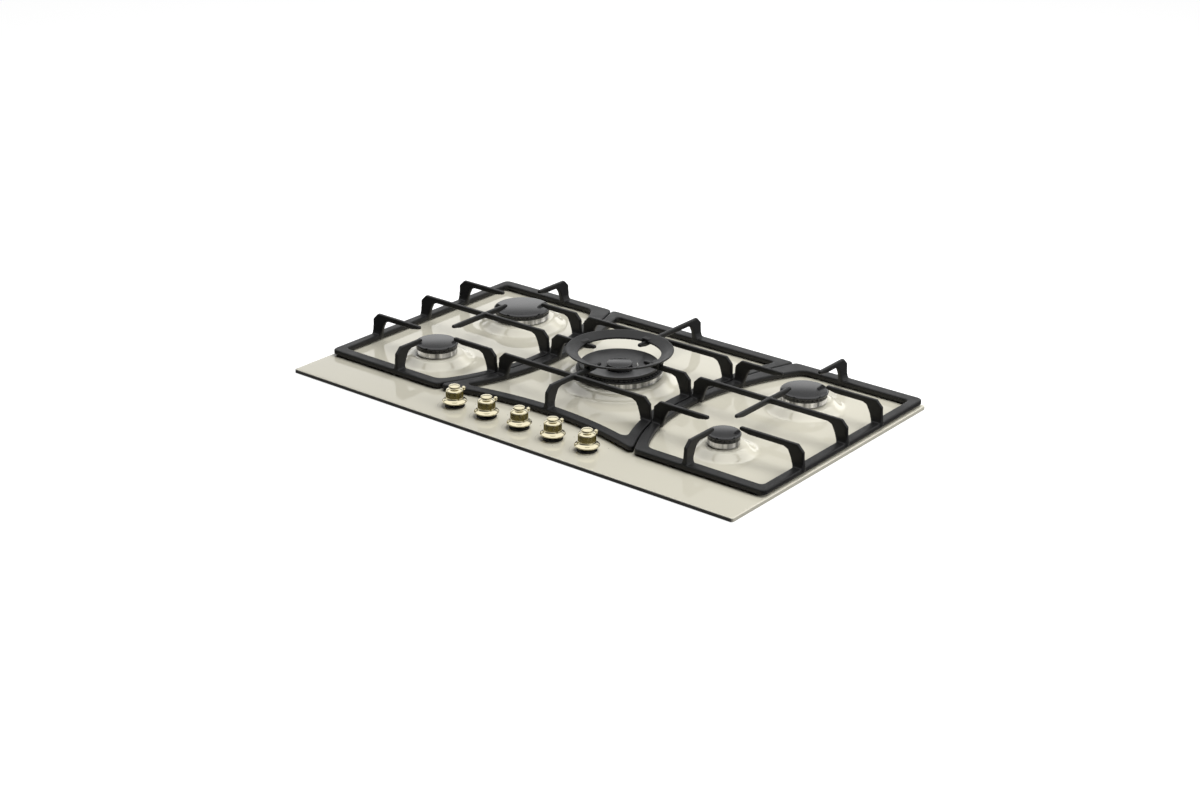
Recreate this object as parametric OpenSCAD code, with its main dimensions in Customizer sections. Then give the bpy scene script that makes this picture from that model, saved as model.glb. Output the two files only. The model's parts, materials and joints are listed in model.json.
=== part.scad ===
// Built-in gas cooktop with five burners, three cast-iron pan supports and five knobs.
// Origin: centre of the casing's underside. +X runs along the front, +Y to the back, +Z up.
// All lengths are in millimetres.

/* [Panel] */
// Width of the enamelled top panel
panel_w = 860; // [850:1:900]
// Depth of the enamelled top panel
panel_d = 520; // [515:1:560]
// Height of the folded rim all round the panel
rim_h = 6; // [5.5:0.5:9]
// Thickness of the enamelled sheet
sheet_t = 1.2; // [0.8:0.1:1.5]
// Radius of the panel's corners in plan
panel_corner_r = 4; // [3:0.5:10]
// Height of the pressed seat under each burner
seat_h = 10; // [8:0.5:12]
// Flat land of a seat outside its burner ring
seat_land = 10; // [9.5:0.5:13]
// Width of a seat's sloping wall
seat_slope_w = 15; // [8:0.5:20]

/* [Casing] */
// Height of the casing below the panel's rim
casing_h = 46; // [46:1:60]
// Width of the casing
casing_w = 822; // [812:1:824]
// Depth of the casing
casing_d = 482; // [478:1:484]
// Thickness of the casing's sheet
casing_t = 1; // [0.8:0.1:1.4]
// Width of the flange that screws to the panel
flange_w = 8; // [8:0.5:9]
// Width of the sealing strip under the rim
seal_w = 8; // [5:0.5:8]
// How far the sealing strip stands below the rim
seal_drop = 0.6; // [0.4:0.1:1.5]
// Thickness of the worktop that the clamps grip
worktop_t = 30; // [20:1:32]
// Radius of the screw shanks
screw_r = 1.95; // [1.5:0.05:2.05]
// Radius of the screw heads
screw_head_r = 3.5; // [3:0.1:3.8]
// Height of the screw heads
screw_head_h = 2.4; // [1.5:0.1:3]

/* [Burner places] */
// Distance of the side burners from the middle
column_x = 286; // [276:0.5:292]
// Place of the rear burners, front to back
rear_y = 135; // [128:0.5:142]
// Place of the wok burner, front to back
middle_y = 38; // [34:0.5:44]
// Place of the front burners, front to back
front_y = -78.5; // [-80:0.5:-70]

/* [Burners] */
// Radius of the rear left burner's ring
rear_left_r = 46; // [42:0.5:48]
// Radius of the front left burner's ring
front_left_r = 33.5; // [30:0.5:36]
// Radius of the rear right burner's ring
rear_right_r = 36.2; // [32:0.1:38]
// Radius of the front right burner's ring
front_right_r = 24.5; // [23:0.5:28]
// Radius of the wok burner's base ring
wok_r = 69.5; // [66:0.5:72]
// How far a cap stands out over its ring
cap_overhang = 1.4; // [0.4:0.1:1.8]
// Dark gap between a seat and its burner ring
seam_h = 2; // [1.4:0.1:3]
// Height of a burner ring below its flame slots
ring_h = 10; // [8:0.5:12]
// Height of the flame slots
slot_h = 2.5; // [1.5:0.1:3]
// Width of the flame slots
slot_w = 1.8; // [1:0.1:2.2]
// Distance from one flame slot to the next round the ring
slot_pitch = 7.8; // [6:0.1:12]
// Thickness of a burner ring's wall
ring_wall = 4; // [3:0.1:4.5]
// Height of a cap
cap_h = 5; // [4:0.1:6]
// Radius of the wok burner's dished outer cap
dish_r = 63.5; // [61:0.5:64]
// Depth of the dish of the outer cap
dish_depth = 7.5; // [5:0.5:9]
// Radius of the wok burner's inner cap
inner_cap_r = 20.7; // [18:0.1:21.5]
// Radius of a burner's mixing tube
venturi_r = 7; // [6:0.5:7.5]
// Depth of a burner cup below the seat's top
cup_depth = 40; // [38:1:42]
// Wall of a burner cup
cup_wall = 2.5; // [1.5:0.1:3]

/* [Pan supports] */
// Outer half-width across the three supports
support_x = 426.5; // [422:0.5:427]
// Front edge of the side supports
support_front_y = -178.5; // [-182:0.5:-176]
// Rear edge of the supports
support_rear_y = 258.5; // [252:0.5:259]
// Height of the rubber feet that show
foot_h = 2.5; // [2:0.1:4]
// Height of the frame bars
bar_h = 8.5; // [8:0.1:12]
// Width of the side bars
side_bar_w = 15.5; // [14:0.1:18]
// Width of the front bars
front_bar_w = 18.5; // [17:0.1:22]
// Width of the rear bars
rear_bar_w = 19.5; // [17:0.1:22]
// Narrowest place of the seam between the supports
seam_x = 142.5; // [138:0.5:146]
// Where the seam is narrowest, front to back
seam_waist_y = 15; // [5:1:25]
// Gap between neighbouring supports
seam_gap = 2; // [1:0.1:3]
// Radius of the seam's bow behind its waist
seam_rear_r = 660; // [600:10:800]
// Radius of the seam's bow in front of its waist
seam_front_r = 380; // [350:10:450]
// Width of a side support's inner bar at the waist
inner_bar_w = 13; // [11:0.5:15]
// Radius of that bar's window edge behind the waist
inner_rear_r = 440; // [420:10:600]
// Radius of that bar's window edge in front of the waist
inner_front_r = 330; // [310:10:380]
// Width of the middle support's bars at the waist
middle_bar_w = 18.5; // [16:0.5:22]
// Front edge of the middle support on the centre line
arch_y = -147; // [-150:0.5:-144]
// Radius of the middle support's arched front
arch_r = 590; // [560:10:640]
// Width of the arched front bar
arch_bar_w = 17.5; // [14:0.5:20]
// Width of a finger
finger_w = 6; // [5:0.1:7]
// Depth of a finger
finger_h = 9; // [7:0.1:9.5]
// Height of the finger tops above the panel
finger_top = 46.5; // [45.5:0.5:52]
// Width of a leg at its foot
leg_w = 19; // [15:0.5:20]
// Distance of the finger tips from the rear left burner's centre
rear_left_tip = 42; // [40:0.5:48]
// Distance of the finger tips from the front left burner's centre
front_left_tip = 37.5; // [35:0.5:42]
// Distance of the finger tips from the rear right burner's centre
rear_right_tip = 40; // [36:0.5:44]
// Distance of the finger tips from the front right burner's centre
front_right_tip = 28.5; // [28:0.5:36]
// Distance of the finger tips from the wok burner's centre
wok_tip = 49; // [46:0.5:54]

/* [Wok ring] */
// Outer radius of the wok ring
wok_ring_r = 86.4; // [82:0.2:90]
// Radius of the wok ring's opening
wok_ring_hole_r = 65.5; // [62:0.5:67]
// Height of the ring's outer edge above the finger tops
wok_ring_rise = 8; // [7:0.5:10]
// Drop from the ring's outer edge to its inner edge
wok_ring_drop = 7.5; // [6:0.5:8]
// Thickness of the wok ring
wok_ring_t = 3.6; // [3:0.1:4.5]

/* [Knobs] */
// Distance between neighbouring knobs
knob_pitch = 65.5; // [60:0.5:68]
// Place of the knobs, front to back
knob_y = -207; // [-208:0.5:-204]
// Height of a knob's top above the panel
knob_top = 35; // [34:0.5:38]
// Radius of a knob's flange
knob_flange_r = 19.4; // [18.5:0.1:20.5]
// Radius of a knob's barrel
knob_barrel_r = 13.4; // [13:0.1:14]
// Radius of the button on top of a knob
knob_button_r = 9; // [8:0.5:10]
// Clearance under a resting knob
knob_gap = 4.8; // [4.5:0.1:6]
// Distance of the lever pin's ball from the knob's axis
ball_x = 21; // [20:0.5:22]
// Radius of the lever pin's ball
ball_r = 3.4; // [2.8:0.1:3.6]
// Radius of the lever pin's stem
stem_r = 1.4; // [1:0.1:1.8]
// How far the knob and spindle travel when pushed
push_travel = 3; // [2:0.5:3]
// Radius of a spindle
spindle_r = 4; // [3.5:0.1:4.2]

/* [Gas parts] */
// Radius of the gas rail
rail_r = 6.5; // [6:0.1:7]
// Radius of a tap's plug
plug_r = 7.95; // [7.5:0.05:8.5]
// Running clearance of plug and spindle
running_gap = 0.05; // [0.03:0.01:0.08]
// Width of a tap body
tap_w = 26; // [24:0.5:30]
// Depth of a tap body
tap_d = 34; // [30:0.5:36]
// Radius of the feed pipes
pipe_r = 4; // [3:0.1:4]
// Radius of the gas inlet's half-inch thread
inlet_r = 10.48; // [8:0.01:10.6]
// Length of the gas inlet's thread
inlet_l = 18; // [12:0.5:20]
// Radius of the cable gland's bore
gland_r = 3.6; // [3:0.1:4.5]

/* [Hidden] */

enamel = "#d8d4c2";
iron = "#1d1d1e";
alloy = "#b9bbbd";
black_enamel = "#2b2b2d";
brass = "#c9a44c";
rubber = "#101010";
zinc = "#9fa3a6";

// Number of straight pieces that draw a full circle
$fn = 72;
// Straight pieces in each half of a bowed edge
bow_steps = 12;
// Straight pieces in a rounded corner
corner_steps = 6;
// Overrun of every cut
cut = 1;
// Gap that lets a piece seat freely
seat_gap = 0.2;

panel_z = casing_h + rim_h;
skin_z = panel_z - sheet_t;
seat_z = panel_z + seat_h;
ring_z = seat_z + seam_h;
slot_z = ring_z + ring_h;
cap_z = slot_z + slot_h;

// Burner list: place and ring radius
RL = [-column_x, rear_y, rear_left_r];
FL = [-column_x, front_y, front_left_r];
WK = [0, middle_y, wok_r];
RR = [column_x, rear_y, rear_right_r];
FR = [column_x, front_y, front_right_r];
burners = [RL, FL, WK, RR, FR];
knob_places = [for (i = [-2:2]) [i * knob_pitch, knob_y]];

boss_r = 4.5;
boss_h = 3.6;
screw_clear = 0.2;
screw_row_x = 280;
screw_row_y = 150;
flange_z = skin_z - boss_h - casing_t;
screw_places = concat(
    [for (sx = [-1, 1], sy = [-1, 1]) [sx * (casing_w + flange_w) / 2, sy * screw_row_y]],
    [for (sx = [-1:1], sy = [-1, 1]) [sx * screw_row_x, sy * (casing_d + flange_w) / 2]]);

// Igniter and flame sensor stand behind each ring, out of sight from the front
sensor_turn = 128;
sensor_spread = 12;
sensor_out = 4.6;
insulator_r = 2.4;
thermocouple_r = 2;
sensor_gap = 0.1;
wok_sensor_out = 5.2;

spindle_hole_r = 6.2;
gasket_r = 15.5;
gasket_h = 1.2;

module at(place) translate([place[0], place[1]]) children();

// A rectangle with rounded corners, drawn flat
module rounded_plate(w, d, r) {
    square([w - 2 * r, d], center = true);
    square([w, d - 2 * r], center = true);
    for (sx = [-1, 1], sy = [-1, 1])
        translate([sx * (w / 2 - r), sy * (d / 2 - r)]) circle(r);
}

// A tube: outer radius, inner radius, bottom and top
module tube(r_out, r_in, z0, z1) {
    translate([0, 0, z0]) difference() {
        cylinder(h = z1 - z0, r = r_out);
        translate([0, 0, -cut]) cylinder(h = z1 - z0 + 2 * cut, r = r_in);
    }
}

// A solid round from bottom to top
module rod(r, z0, z1) translate([0, 0, z0]) cylinder(h = z1 - z0, r = r);

// A straight round bar between two points
module bar_between(a, b, r) {
    d = b - a;
    l = norm(d);
    translate(a) rotate([0, acos(d[2] / l), atan2(d[1], d[0])]) cylinder(h = l, r = r);
}

// A bent pipe through a list of points
module pipe_run(points, r) {
    for (i = [1:len(points) - 1]) bar_between(points[i - 1], points[i], r);
    if (len(points) > 2) for (i = [1:len(points) - 2]) translate(points[i]) sphere(r);
}

// Places of a burner's igniter and flame sensor round its ring
function sensor_place(b, side) =
    let (out = b[2] + (b[2] == wok_r ? wok_sensor_out : sensor_out),
         turn = sensor_turn + side * sensor_spread * front_left_r / b[2])
    [b[0] + out * cos(turn), b[1] + out * sin(turn)];

// Top panel

function seat_foot_r(b) = b[2] + seat_land + seat_slope_w;
module seat_cone(b, inset, z0) at(b) translate([0, 0, z0])
    cylinder(h = seat_h, r1 = seat_foot_r(b) - inset, r2 = b[2] + seat_land - inset);

neck_gap = 0.3;
neck_inset = 5;

module top_panel() color(enamel) difference() {
    translate([0, 0, casing_h]) linear_extrude(rim_h) rounded_plate(panel_w, panel_d, panel_corner_r);
    difference() {
        translate([0, 0, casing_h - cut]) linear_extrude(skin_z - casing_h + cut)
            rounded_plate(panel_w - 2 * sheet_t, panel_d - 2 * sheet_t, panel_corner_r - sheet_t);
        for (p = screw_places) at(p) tube(boss_r, screw_r, skin_z - boss_h, skin_z + cut / 2);
    }
    for (b = burners) at(b) rod(seat_foot_r(b), skin_z - cut, panel_z + cut);
    for (p = knob_places) at(p) rod(spindle_hole_r, skin_z - cut, panel_z + cut);
}

// The raised seats that carry the burners, from the panel's skin upwards
module burner_seats() color(enamel) for (b = burners) difference() {
    union() {
        seat_cone(b, 0, panel_z);
        at(b) rod(seat_foot_r(b), skin_z, panel_z);
    }
    seat_cone(b, sheet_t, skin_z);
    at(b) rod(b[2] - neck_inset + neck_gap, skin_z, seat_z + cut);
    for (side = [-1, 1]) at(sensor_place(b, side)) rod(insulator_r + neck_gap, skin_z, seat_z + cut);
}

// Sealing strip inside the rim
seal_gap = 0.3;
seal_in = sheet_t + seal_gap;

seal_z = casing_h - seal_drop;

module panel_seal() color(rubber)
    translate([0, 0, seal_z]) linear_extrude(skin_z - seal_gap - seal_z) difference() {
        rounded_plate(panel_w - 2 * seal_in, panel_d - 2 * seal_in, panel_corner_r / 2);
        square([panel_w - 2 * seal_in - 2 * seal_w, panel_d - 2 * seal_in - 2 * seal_w], center = true);
    }

// Casing: a floor with a raised pocket at the rear right corner for the gas inlet, and walls
pocket_w = 50;
pocket_d = 52;
pocket_h = 26;
inlet_x = casing_w / 2 - pocket_w / 2;
inlet_y = casing_d / 2 - pocket_d / 2;
gland_from_corner = 130;
gland_wall = 2.4;
gland_height_share = 0.45;
gland_x = -casing_w / 2 + gland_from_corner;
gland_z = casing_h * gland_height_share;
gland_neck_r = gland_r + gland_wall;
clamp_x = 330;
clamp_w = 20;
clamp_t = 2;
clamp_gap = 0.5;
clamp_z = casing_h - worktop_t - clamp_gap - clamp_t;
clamp_hole_h = 9;
clamp_hole_z = clamp_z + clamp_hole_h;
clamp_reach = 14;
clamp_places = [for (sx = [-1, 1], sy = [-1, 1]) [sx * clamp_x, sy]];

module pocket_block(grow, top)
    translate([casing_w / 2 - pocket_w - grow, casing_d / 2 - pocket_d - grow, -cut])
        cube([pocket_w + grow + cut, pocket_d + grow + cut, top + cut]);

module bottom_tray() color(zinc) difference() {
    union() {
        linear_extrude(casing_t) square([casing_w, casing_d], center = true);
        translate([casing_w / 2 - pocket_w - casing_t, casing_d / 2 - pocket_d - casing_t, 0])
            cube([pocket_w + casing_t, pocket_d + casing_t, pocket_h + casing_t]);
    }
    pocket_block(0, pocket_h);
    translate([inlet_x, inlet_y]) rod(inlet_r + neck_gap, 0, casing_h);
}

module casing_walls() color(zinc) difference() {
    union() {
        translate([0, 0, flange_z]) linear_extrude(casing_t)
            square([casing_w + 2 * flange_w, casing_d + 2 * flange_w], center = true);
        translate([0, 0, casing_t]) linear_extrude(flange_z)
            square([casing_w, casing_d], center = true);
    }
    linear_extrude(casing_h + rim_h)
        square([casing_w - 2 * casing_t, casing_d - 2 * casing_t], center = true);
    pocket_block(casing_t, pocket_h + casing_t);
    for (p = screw_places) at(p) rod(screw_r + screw_clear, flange_z - cut, flange_z + casing_t + cut);
    for (p = clamp_places) translate([p[0], p[1] * casing_d / 2, clamp_hole_z]) rotate([90, 0, 0])
        translate([0, 0, -casing_t - cut]) cylinder(h = 2 * (casing_t + cut), r = screw_r);
    translate([gland_x, casing_d / 2 + cut, gland_z]) rotate([90, 0, 0])
        cylinder(h = casing_t + 2 * cut, r = gland_neck_r + seat_gap);
}

module tray_screws() color(zinc) for (p = screw_places) at(p) {
    rod(screw_head_r, flange_z - screw_head_h, flange_z);
    rod(screw_r, flange_z, skin_z - seat_gap);
}

// Clamps that hook under the worktop
module clamp_brackets() color(zinc) for (p = clamp_places) {
    translate([p[0], p[1] * casing_d / 2]) mirror([0, p[1] > 0 ? 0 : 1]) difference() {
        union() {
            translate([-clamp_w / 2, 0, clamp_z])
                cube([clamp_w, clamp_t, clamp_hole_h + clamp_w / 2]);
            translate([-clamp_w / 2, 0, clamp_z]) cube([clamp_w, clamp_reach, clamp_t]);
        }
        translate([0, clamp_t + cut, clamp_hole_z]) rotate([90, 0, 0])
            cylinder(h = clamp_t + 2 * cut, r = screw_r + screw_clear);
    }
}

clamp_screw_l = 8;

module clamp_screws() color(zinc) for (p = clamp_places)
    translate([p[0], p[1] * (casing_d / 2 + clamp_t), clamp_hole_z]) rotate([p[1] * 90, 0, 0]) {
        rod(screw_r, 0, clamp_screw_l);
        rod(screw_head_r, -screw_head_h, 0);
    }

// Pan supports

// How far a bowed edge has moved sideways at the place y
function bow(y, rear_r, front_r) =
    let (r = y > seam_waist_y ? rear_r : front_r, d = y - seam_waist_y) r - sqrt(r * r - d * d);
function unit(v) = v / norm(v);

// Points of an arc that rounds the corner p between its neighbours a and b
function rounded_corner(a, p, b, r) =
    let (u = unit(a - p), v = unit(b - p), half = acos(u * v) / 2,
         c = p + unit(u + v) * r / sin(half),
         first = p + u * r / tan(half) - c, last = p + v * r / tan(half) - c,
         a0 = atan2(first[1], first[0]), a1 = atan2(last[1], last[0]),
         sweep = (a1 - a0 + 540) % 360 - 180)
    [for (i = [0:corner_steps]) let (t = a0 + sweep * i / corner_steps) c + r * [cos(t), sin(t)]];

// Outline from a list of [x, y, corner radius]
function outline(list) = let (n = len(list)) [for (i = [0:n - 1])
    let (p = list[i], a = list[(i + n - 1) % n], b = list[(i + 1) % n])
    each (p[2] > 0 ? rounded_corner([a[0], a[1]], [p[0], p[1]], [b[0], b[1]], p[2]) : [[p[0], p[1]]])];

// Edge of a bowed bar from y0 to y1: x0 is its place at the waist
function bowed_edge(x0, rear_r, front_r, y0, y1, corner_r) = concat(
    [for (i = [0:bow_steps]) let (y = y0 + (seam_waist_y - y0) * i / bow_steps)
        [x0 + bow(y, rear_r, front_r), y, i == 0 ? corner_r : 0]],
    [for (i = [1:bow_steps]) let (y = seam_waist_y + (y1 - seam_waist_y) * i / bow_steps)
        [x0 + bow(y, rear_r, front_r), y, i == bow_steps ? corner_r : 0]]);
function arched_edge(y0, r, x0, x1) = [for (i = [1:2 * bow_steps - 1])
    let (x = x0 + (x1 - x0) * i / (2 * bow_steps)) [x, y0 - (r - sqrt(r * r - x * x)), 0]];

outer_corner_r = 9;
inner_corner_r = 6;
sweep_corner_r = 22;
edge_draft = 0.8;
edge_h = 1.2;

// Right-hand support's outer edge and window; inset narrows the upper layer of the bars
function side_outer(inset) = outline(concat(
    bowed_edge(seam_x + seam_gap / 2 + inset, seam_rear_r - inset, seam_front_r - inset,
        support_rear_y - inset, support_front_y + inset, outer_corner_r),
    [[support_x - inset, support_front_y + inset, outer_corner_r],
     [support_x - inset, support_rear_y - inset, outer_corner_r]]));
function side_window(inset) = outline(concat(
    bowed_edge(seam_x + seam_gap / 2 + inner_bar_w - inset, inner_rear_r + inset, inner_front_r + inset,
        support_rear_y - rear_bar_w + inset, support_front_y + front_bar_w - inset, sweep_corner_r),
    [[support_x - side_bar_w + inset, support_front_y + front_bar_w - inset, inner_corner_r],
     [support_x - side_bar_w + inset, support_rear_y - rear_bar_w + inset, inner_corner_r]]));

// Middle support's outer edge and window
corner_x = seam_x - seam_gap / 2 + bow(support_front_y, seam_rear_r, seam_front_r);
window_edge_x = seam_x - seam_gap / 2 - middle_bar_w;
arch_corner_y = arch_y + arch_bar_w;
function mirrored(list) = [for (i = [len(list) - 1:-1:0]) [-list[i][0], list[i][1], list[i][2]]];
function arch_drop(x, r) = r - sqrt(r * r - x * x);
function middle_outline(side, y0, r) = let (end = side[len(side) - 1][0]) outline(concat(
    side, arched_edge(y0, r, end, -end), mirrored(side)));
function middle_outer(inset) = let (y_end = arch_y - arch_drop(corner_x, arch_r) + inset)
    middle_outline(bowed_edge(seam_x - seam_gap / 2 - inset, seam_rear_r + inset, seam_front_r + inset,
        support_rear_y - inset, y_end, inner_corner_r), arch_y + inset, arch_r);
function middle_window(inset) =
    let (y_end = arch_corner_y - arch_drop(window_edge_x + sweep_corner_r, arch_r) - inset)
    middle_outline(bowed_edge(window_edge_x + inset, seam_rear_r, seam_front_r,
        support_rear_y - rear_bar_w + inset, y_end, inner_corner_r), arch_corner_y - inset, arch_r);

bar_z = panel_z + foot_h;
bar_top = bar_z + bar_h;
top_z = panel_z + finger_top;
under_z = top_z - finger_h;
foot_inset = 16;
foot_r = 5.5;
plug_stem_r = 2.4;
plug_stem_h = 5;

module frame_bars(outer_low, window_low, outer_high, window_high) {
    translate([0, 0, bar_z]) linear_extrude(bar_h - edge_h) difference() {
        polygon(outer_low);
        polygon(window_low);
    }
    translate([0, 0, bar_top - edge_h]) linear_extrude(edge_h) difference() {
        polygon(outer_high);
        polygon(window_high);
    }
}

// One arm: a leg on the frame that turns into a finger of the given reach.
// Its foot stands at the origin and the finger runs along +X.
leg_lean = 2;
leg_chamfer = 10.5;
leg_foot_sink = 3;
leg_knee = 5;
leg_fillet = 12;
fillet_run_share = 0.4;
fillet_drop_share = 0.25;
tip_run = 18;
tip_h = 5;
tip_round = 1.6;
gusset_w = 12;
gusset_h = 8;

module arm_profile(reach, open_tip) {
    foot = bar_z + leg_foot_sink;
    knee_z = under_z - leg_fillet;
    shoulder_z = top_z - leg_chamfer;
    tip = open_tip ?
        [[reach - tip_round, top_z], [reach, top_z - tip_round], [reach, top_z - tip_h],
         [reach - tip_round, top_z - tip_h - tip_round / 2], [reach - tip_run, under_z]] :
        [[reach, top_z], [reach, under_z]];
    polygon(concat(
        [[0, foot], [leg_lean, shoulder_z], [leg_lean + leg_chamfer, top_z]], tip,
        [[leg_w + leg_knee + leg_fillet, under_z],
         [leg_w + leg_knee + leg_fillet * fillet_run_share, under_z - leg_fillet * fillet_drop_share],
         [leg_w + leg_knee, knee_z], [leg_w, bar_top], [leg_w - edge_draft, foot]]));
}

module arm(reach, open_tip) {
    rotate([90, 0, 0]) translate([0, 0, -finger_w / 2]) linear_extrude(finger_w)
        arm_profile(reach, open_tip);
    translate([edge_draft, 0]) rotate([90, 0, 90]) linear_extrude(leg_w - 2 * edge_draft)
        polygon([[-gusset_w / 2, bar_top - edge_h], [gusset_w / 2, bar_top - edge_h],
            [finger_w / 2, bar_top + gusset_h], [-finger_w / 2, bar_top + gusset_h]]);
}

// A straight finger with an open tip at both ends, along +Y
module cross_finger(y0, y1) {
    translate([finger_w / 2, 0]) rotate([90, 0, -90]) linear_extrude(finger_w) mirror([1, 0]) polygon([
        [y0 + tip_round, top_z], [y0, top_z - tip_round], [y0, top_z - tip_h], [y0 + tip_run, under_z],
        [y1 - tip_run, under_z], [y1, top_z - tip_h], [y1, top_z - tip_round], [y1 - tip_round, top_z]]);
}

leg_proud = 1.5;
front_leg_proud = -1;
rear_leg_in = 2;
leg_stand = 1;
left_finger_x = 284.5;
// Seam between the cross finger and the two arms that hold it
bar_seam = 0.1;

// The holes that hold the feet's stems
module foot_holes(places) for (p = places) at(p) rod(plug_stem_r, bar_z - cut, bar_z + plug_stem_h);
module feet(places) color(rubber) for (p = places) at(p) {
    rod(foot_r, panel_z, bar_z);
    rod(plug_stem_r, bar_z, bar_z + plug_stem_h - seat_gap);
}
function seam_at(y) = seam_x + bow(y, seam_rear_r, seam_front_r);
rear_foot_y = support_rear_y - rear_bar_w / 2;
front_foot_y = support_front_y + front_bar_w / 2;
foot_from_seam = 28;
side_feet = [[support_x - foot_inset, rear_foot_y], [support_x - foot_inset, front_foot_y],
    [seam_at(rear_foot_y) + foot_from_seam, rear_foot_y],
    [seam_at(front_foot_y) + foot_from_seam, front_foot_y]];
arch_foot_x = 150;
middle_rear_foot_x = 140;
middle_feet = [for (sx = [-1, 1]) each [[sx * middle_rear_foot_x, rear_foot_y],
    [sx * arch_foot_x, arch_y + arch_bar_w / 2 - arch_drop(arch_foot_x, arch_r)]]];

// Everything above the bars' top face, or everything below it
module above_bars() translate([0, 0, bar_top]) linear_extrude(finger_top)
    square([2 * (support_x + cut) + leg_w, 2 * (support_rear_y + cut) + leg_w], center = true);
module below_bars() translate([0, 0, bar_top - finger_top]) linear_extrude(finger_top)
    square([2 * (support_x + cut) + leg_w, 2 * (support_rear_y + cut) + leg_w], center = true);

module side_grate(rear_tip, front_tip, finger_x) difference() {
    outer_foot = support_x + leg_proud;
    inner_foot = seam_at(middle_y) + seam_gap / 2 + leg_stand;
    half_bar = finger_w / 2 + bar_seam;
    union() {
        frame_bars(side_outer(0), side_window(0), side_outer(edge_draft), side_window(edge_draft));
        for (row = [[rear_y, rear_tip], [front_y, front_tip]]) {
            foot = seam_at(row[0]) + seam_gap / 2 + leg_stand;
            translate([foot, row[0]]) arm(finger_x - row[1] - foot, true);
            translate([outer_foot, row[0]]) mirror([1, 0]) arm(outer_foot - finger_x - row[1], true);
        }
        translate([inner_foot, middle_y]) arm(finger_x - half_bar - inner_foot, false);
        translate([outer_foot, middle_y]) mirror([1, 0]) arm(outer_foot - finger_x - half_bar, false);
        translate([finger_x, 0]) cross_finger(front_y + front_tip, rear_y - rear_tip);
        translate([finger_x, support_rear_y - rear_leg_in]) rotate(-90)
            arm(support_rear_y - rear_leg_in - rear_y - rear_tip, true);
        translate([finger_x, support_front_y - front_leg_proud]) rotate(90)
            arm(front_y - front_tip - support_front_y + front_leg_proud, true);
    }
    foot_holes(side_feet);
}

module left_side() mirror([1, 0]) side_grate(rear_left_tip, front_left_tip, left_finger_x);
module right_side() side_grate(rear_right_tip, front_right_tip, column_x);

module middle() difference() {
    union() {
        frame_bars(middle_outer(0), middle_window(0),
            middle_outer(edge_draft), middle_window(edge_draft));
        for (sx = [0, 1]) mirror([sx, 0]) {
            for (y = [rear_y, front_y]) {
                foot = seam_at(y) - seam_gap / 2 - leg_stand;
                translate([-foot, y]) arm(foot + finger_w, false);
            }
            mid_foot = seam_at(middle_y) - seam_gap / 2 - leg_stand;
            translate([-mid_foot, middle_y]) arm(mid_foot - wok_tip, true);
        }
        translate([0, support_rear_y - rear_leg_in]) rotate(-90)
            arm(support_rear_y - rear_leg_in - middle_y - wok_tip, true);
        translate([0, arch_y - front_leg_proud]) rotate(90)
            arm(middle_y - wok_tip - arch_y + front_leg_proud, true);
    }
    foot_holes(middle_feet);
}

module left_grate() color(iron) difference() {
    left_side();
    above_bars();
}
module centre_grate() color(iron) difference() {
    middle();
    above_bars();
}
module right_grate() color(iron) difference() {
    right_side();
    above_bars();
}
module left_fingers() color(iron) difference() {
    left_side();
    below_bars();
}
module centre_fingers() color(iron) difference() {
    middle();
    below_bars();
}
module right_fingers() color(iron) difference() {
    right_side();
    below_bars();
}

module left_grate_feet() mirror([1, 0]) feet(side_feet);
module right_grate_feet() feet(side_feet);
module centre_grate_feet() feet(middle_feet);

// Wok ring: a dished band with a saddle over each of the four fingers
saddle_w = 14;
saddle_in = 1;
saddle_out = 4;
saddle_top = 4;
saddle_drop = 6;
finger_clear = 0.5;

module wok_ring() color(iron) at(WK) difference() {
    edge_top = top_z + wok_ring_rise;
    inner_top = edge_top - wok_ring_drop;
    edge_run = wok_ring_t / 3;
    union() {
        rotate_extrude() polygon([
            [wok_ring_hole_r, inner_top], [wok_ring_hole_r + edge_run, inner_top - wok_ring_t],
            [wok_ring_r - edge_run, edge_top - wok_ring_t], [wok_ring_r, edge_top - wok_ring_t / 2],
            [wok_ring_r - edge_run / 2, edge_top]]);
        for (k = [0:3]) rotate(90 * k)
            translate([wok_ring_hole_r + saddle_in, -saddle_w / 2, top_z - saddle_drop])
                cube([wok_ring_r - wok_ring_hole_r - saddle_in - saddle_out, saddle_w,
                    saddle_drop + saddle_top]);
    }
    for (k = [0:3]) rotate(90 * k)
        translate([wok_ring_hole_r - cut, -finger_w / 2 - finger_clear, top_z - saddle_drop - cut])
            cube([wok_ring_r - wok_ring_hole_r + 2 * cut, finger_w + 2 * finger_clear,
                saddle_drop + cut + seat_gap]);
}

// Burner cups under the panel
plate_t = 2.5;
plate_out = 8.5;
post_r = 7;
cup_floor = 3;
inlet_boss_r = 6.2;
inlet_boss_l = 12;
pipe_seat = 8;
gas_bore_r = 2;
injector_r = 3.5;
cup_z = seat_z - cup_depth;
boss_lift = 0.6;
pipe_z = cup_z + inlet_boss_r + boss_lift;
post_rise = 2;
post_top = pipe_z + inlet_boss_r + post_rise;

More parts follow.
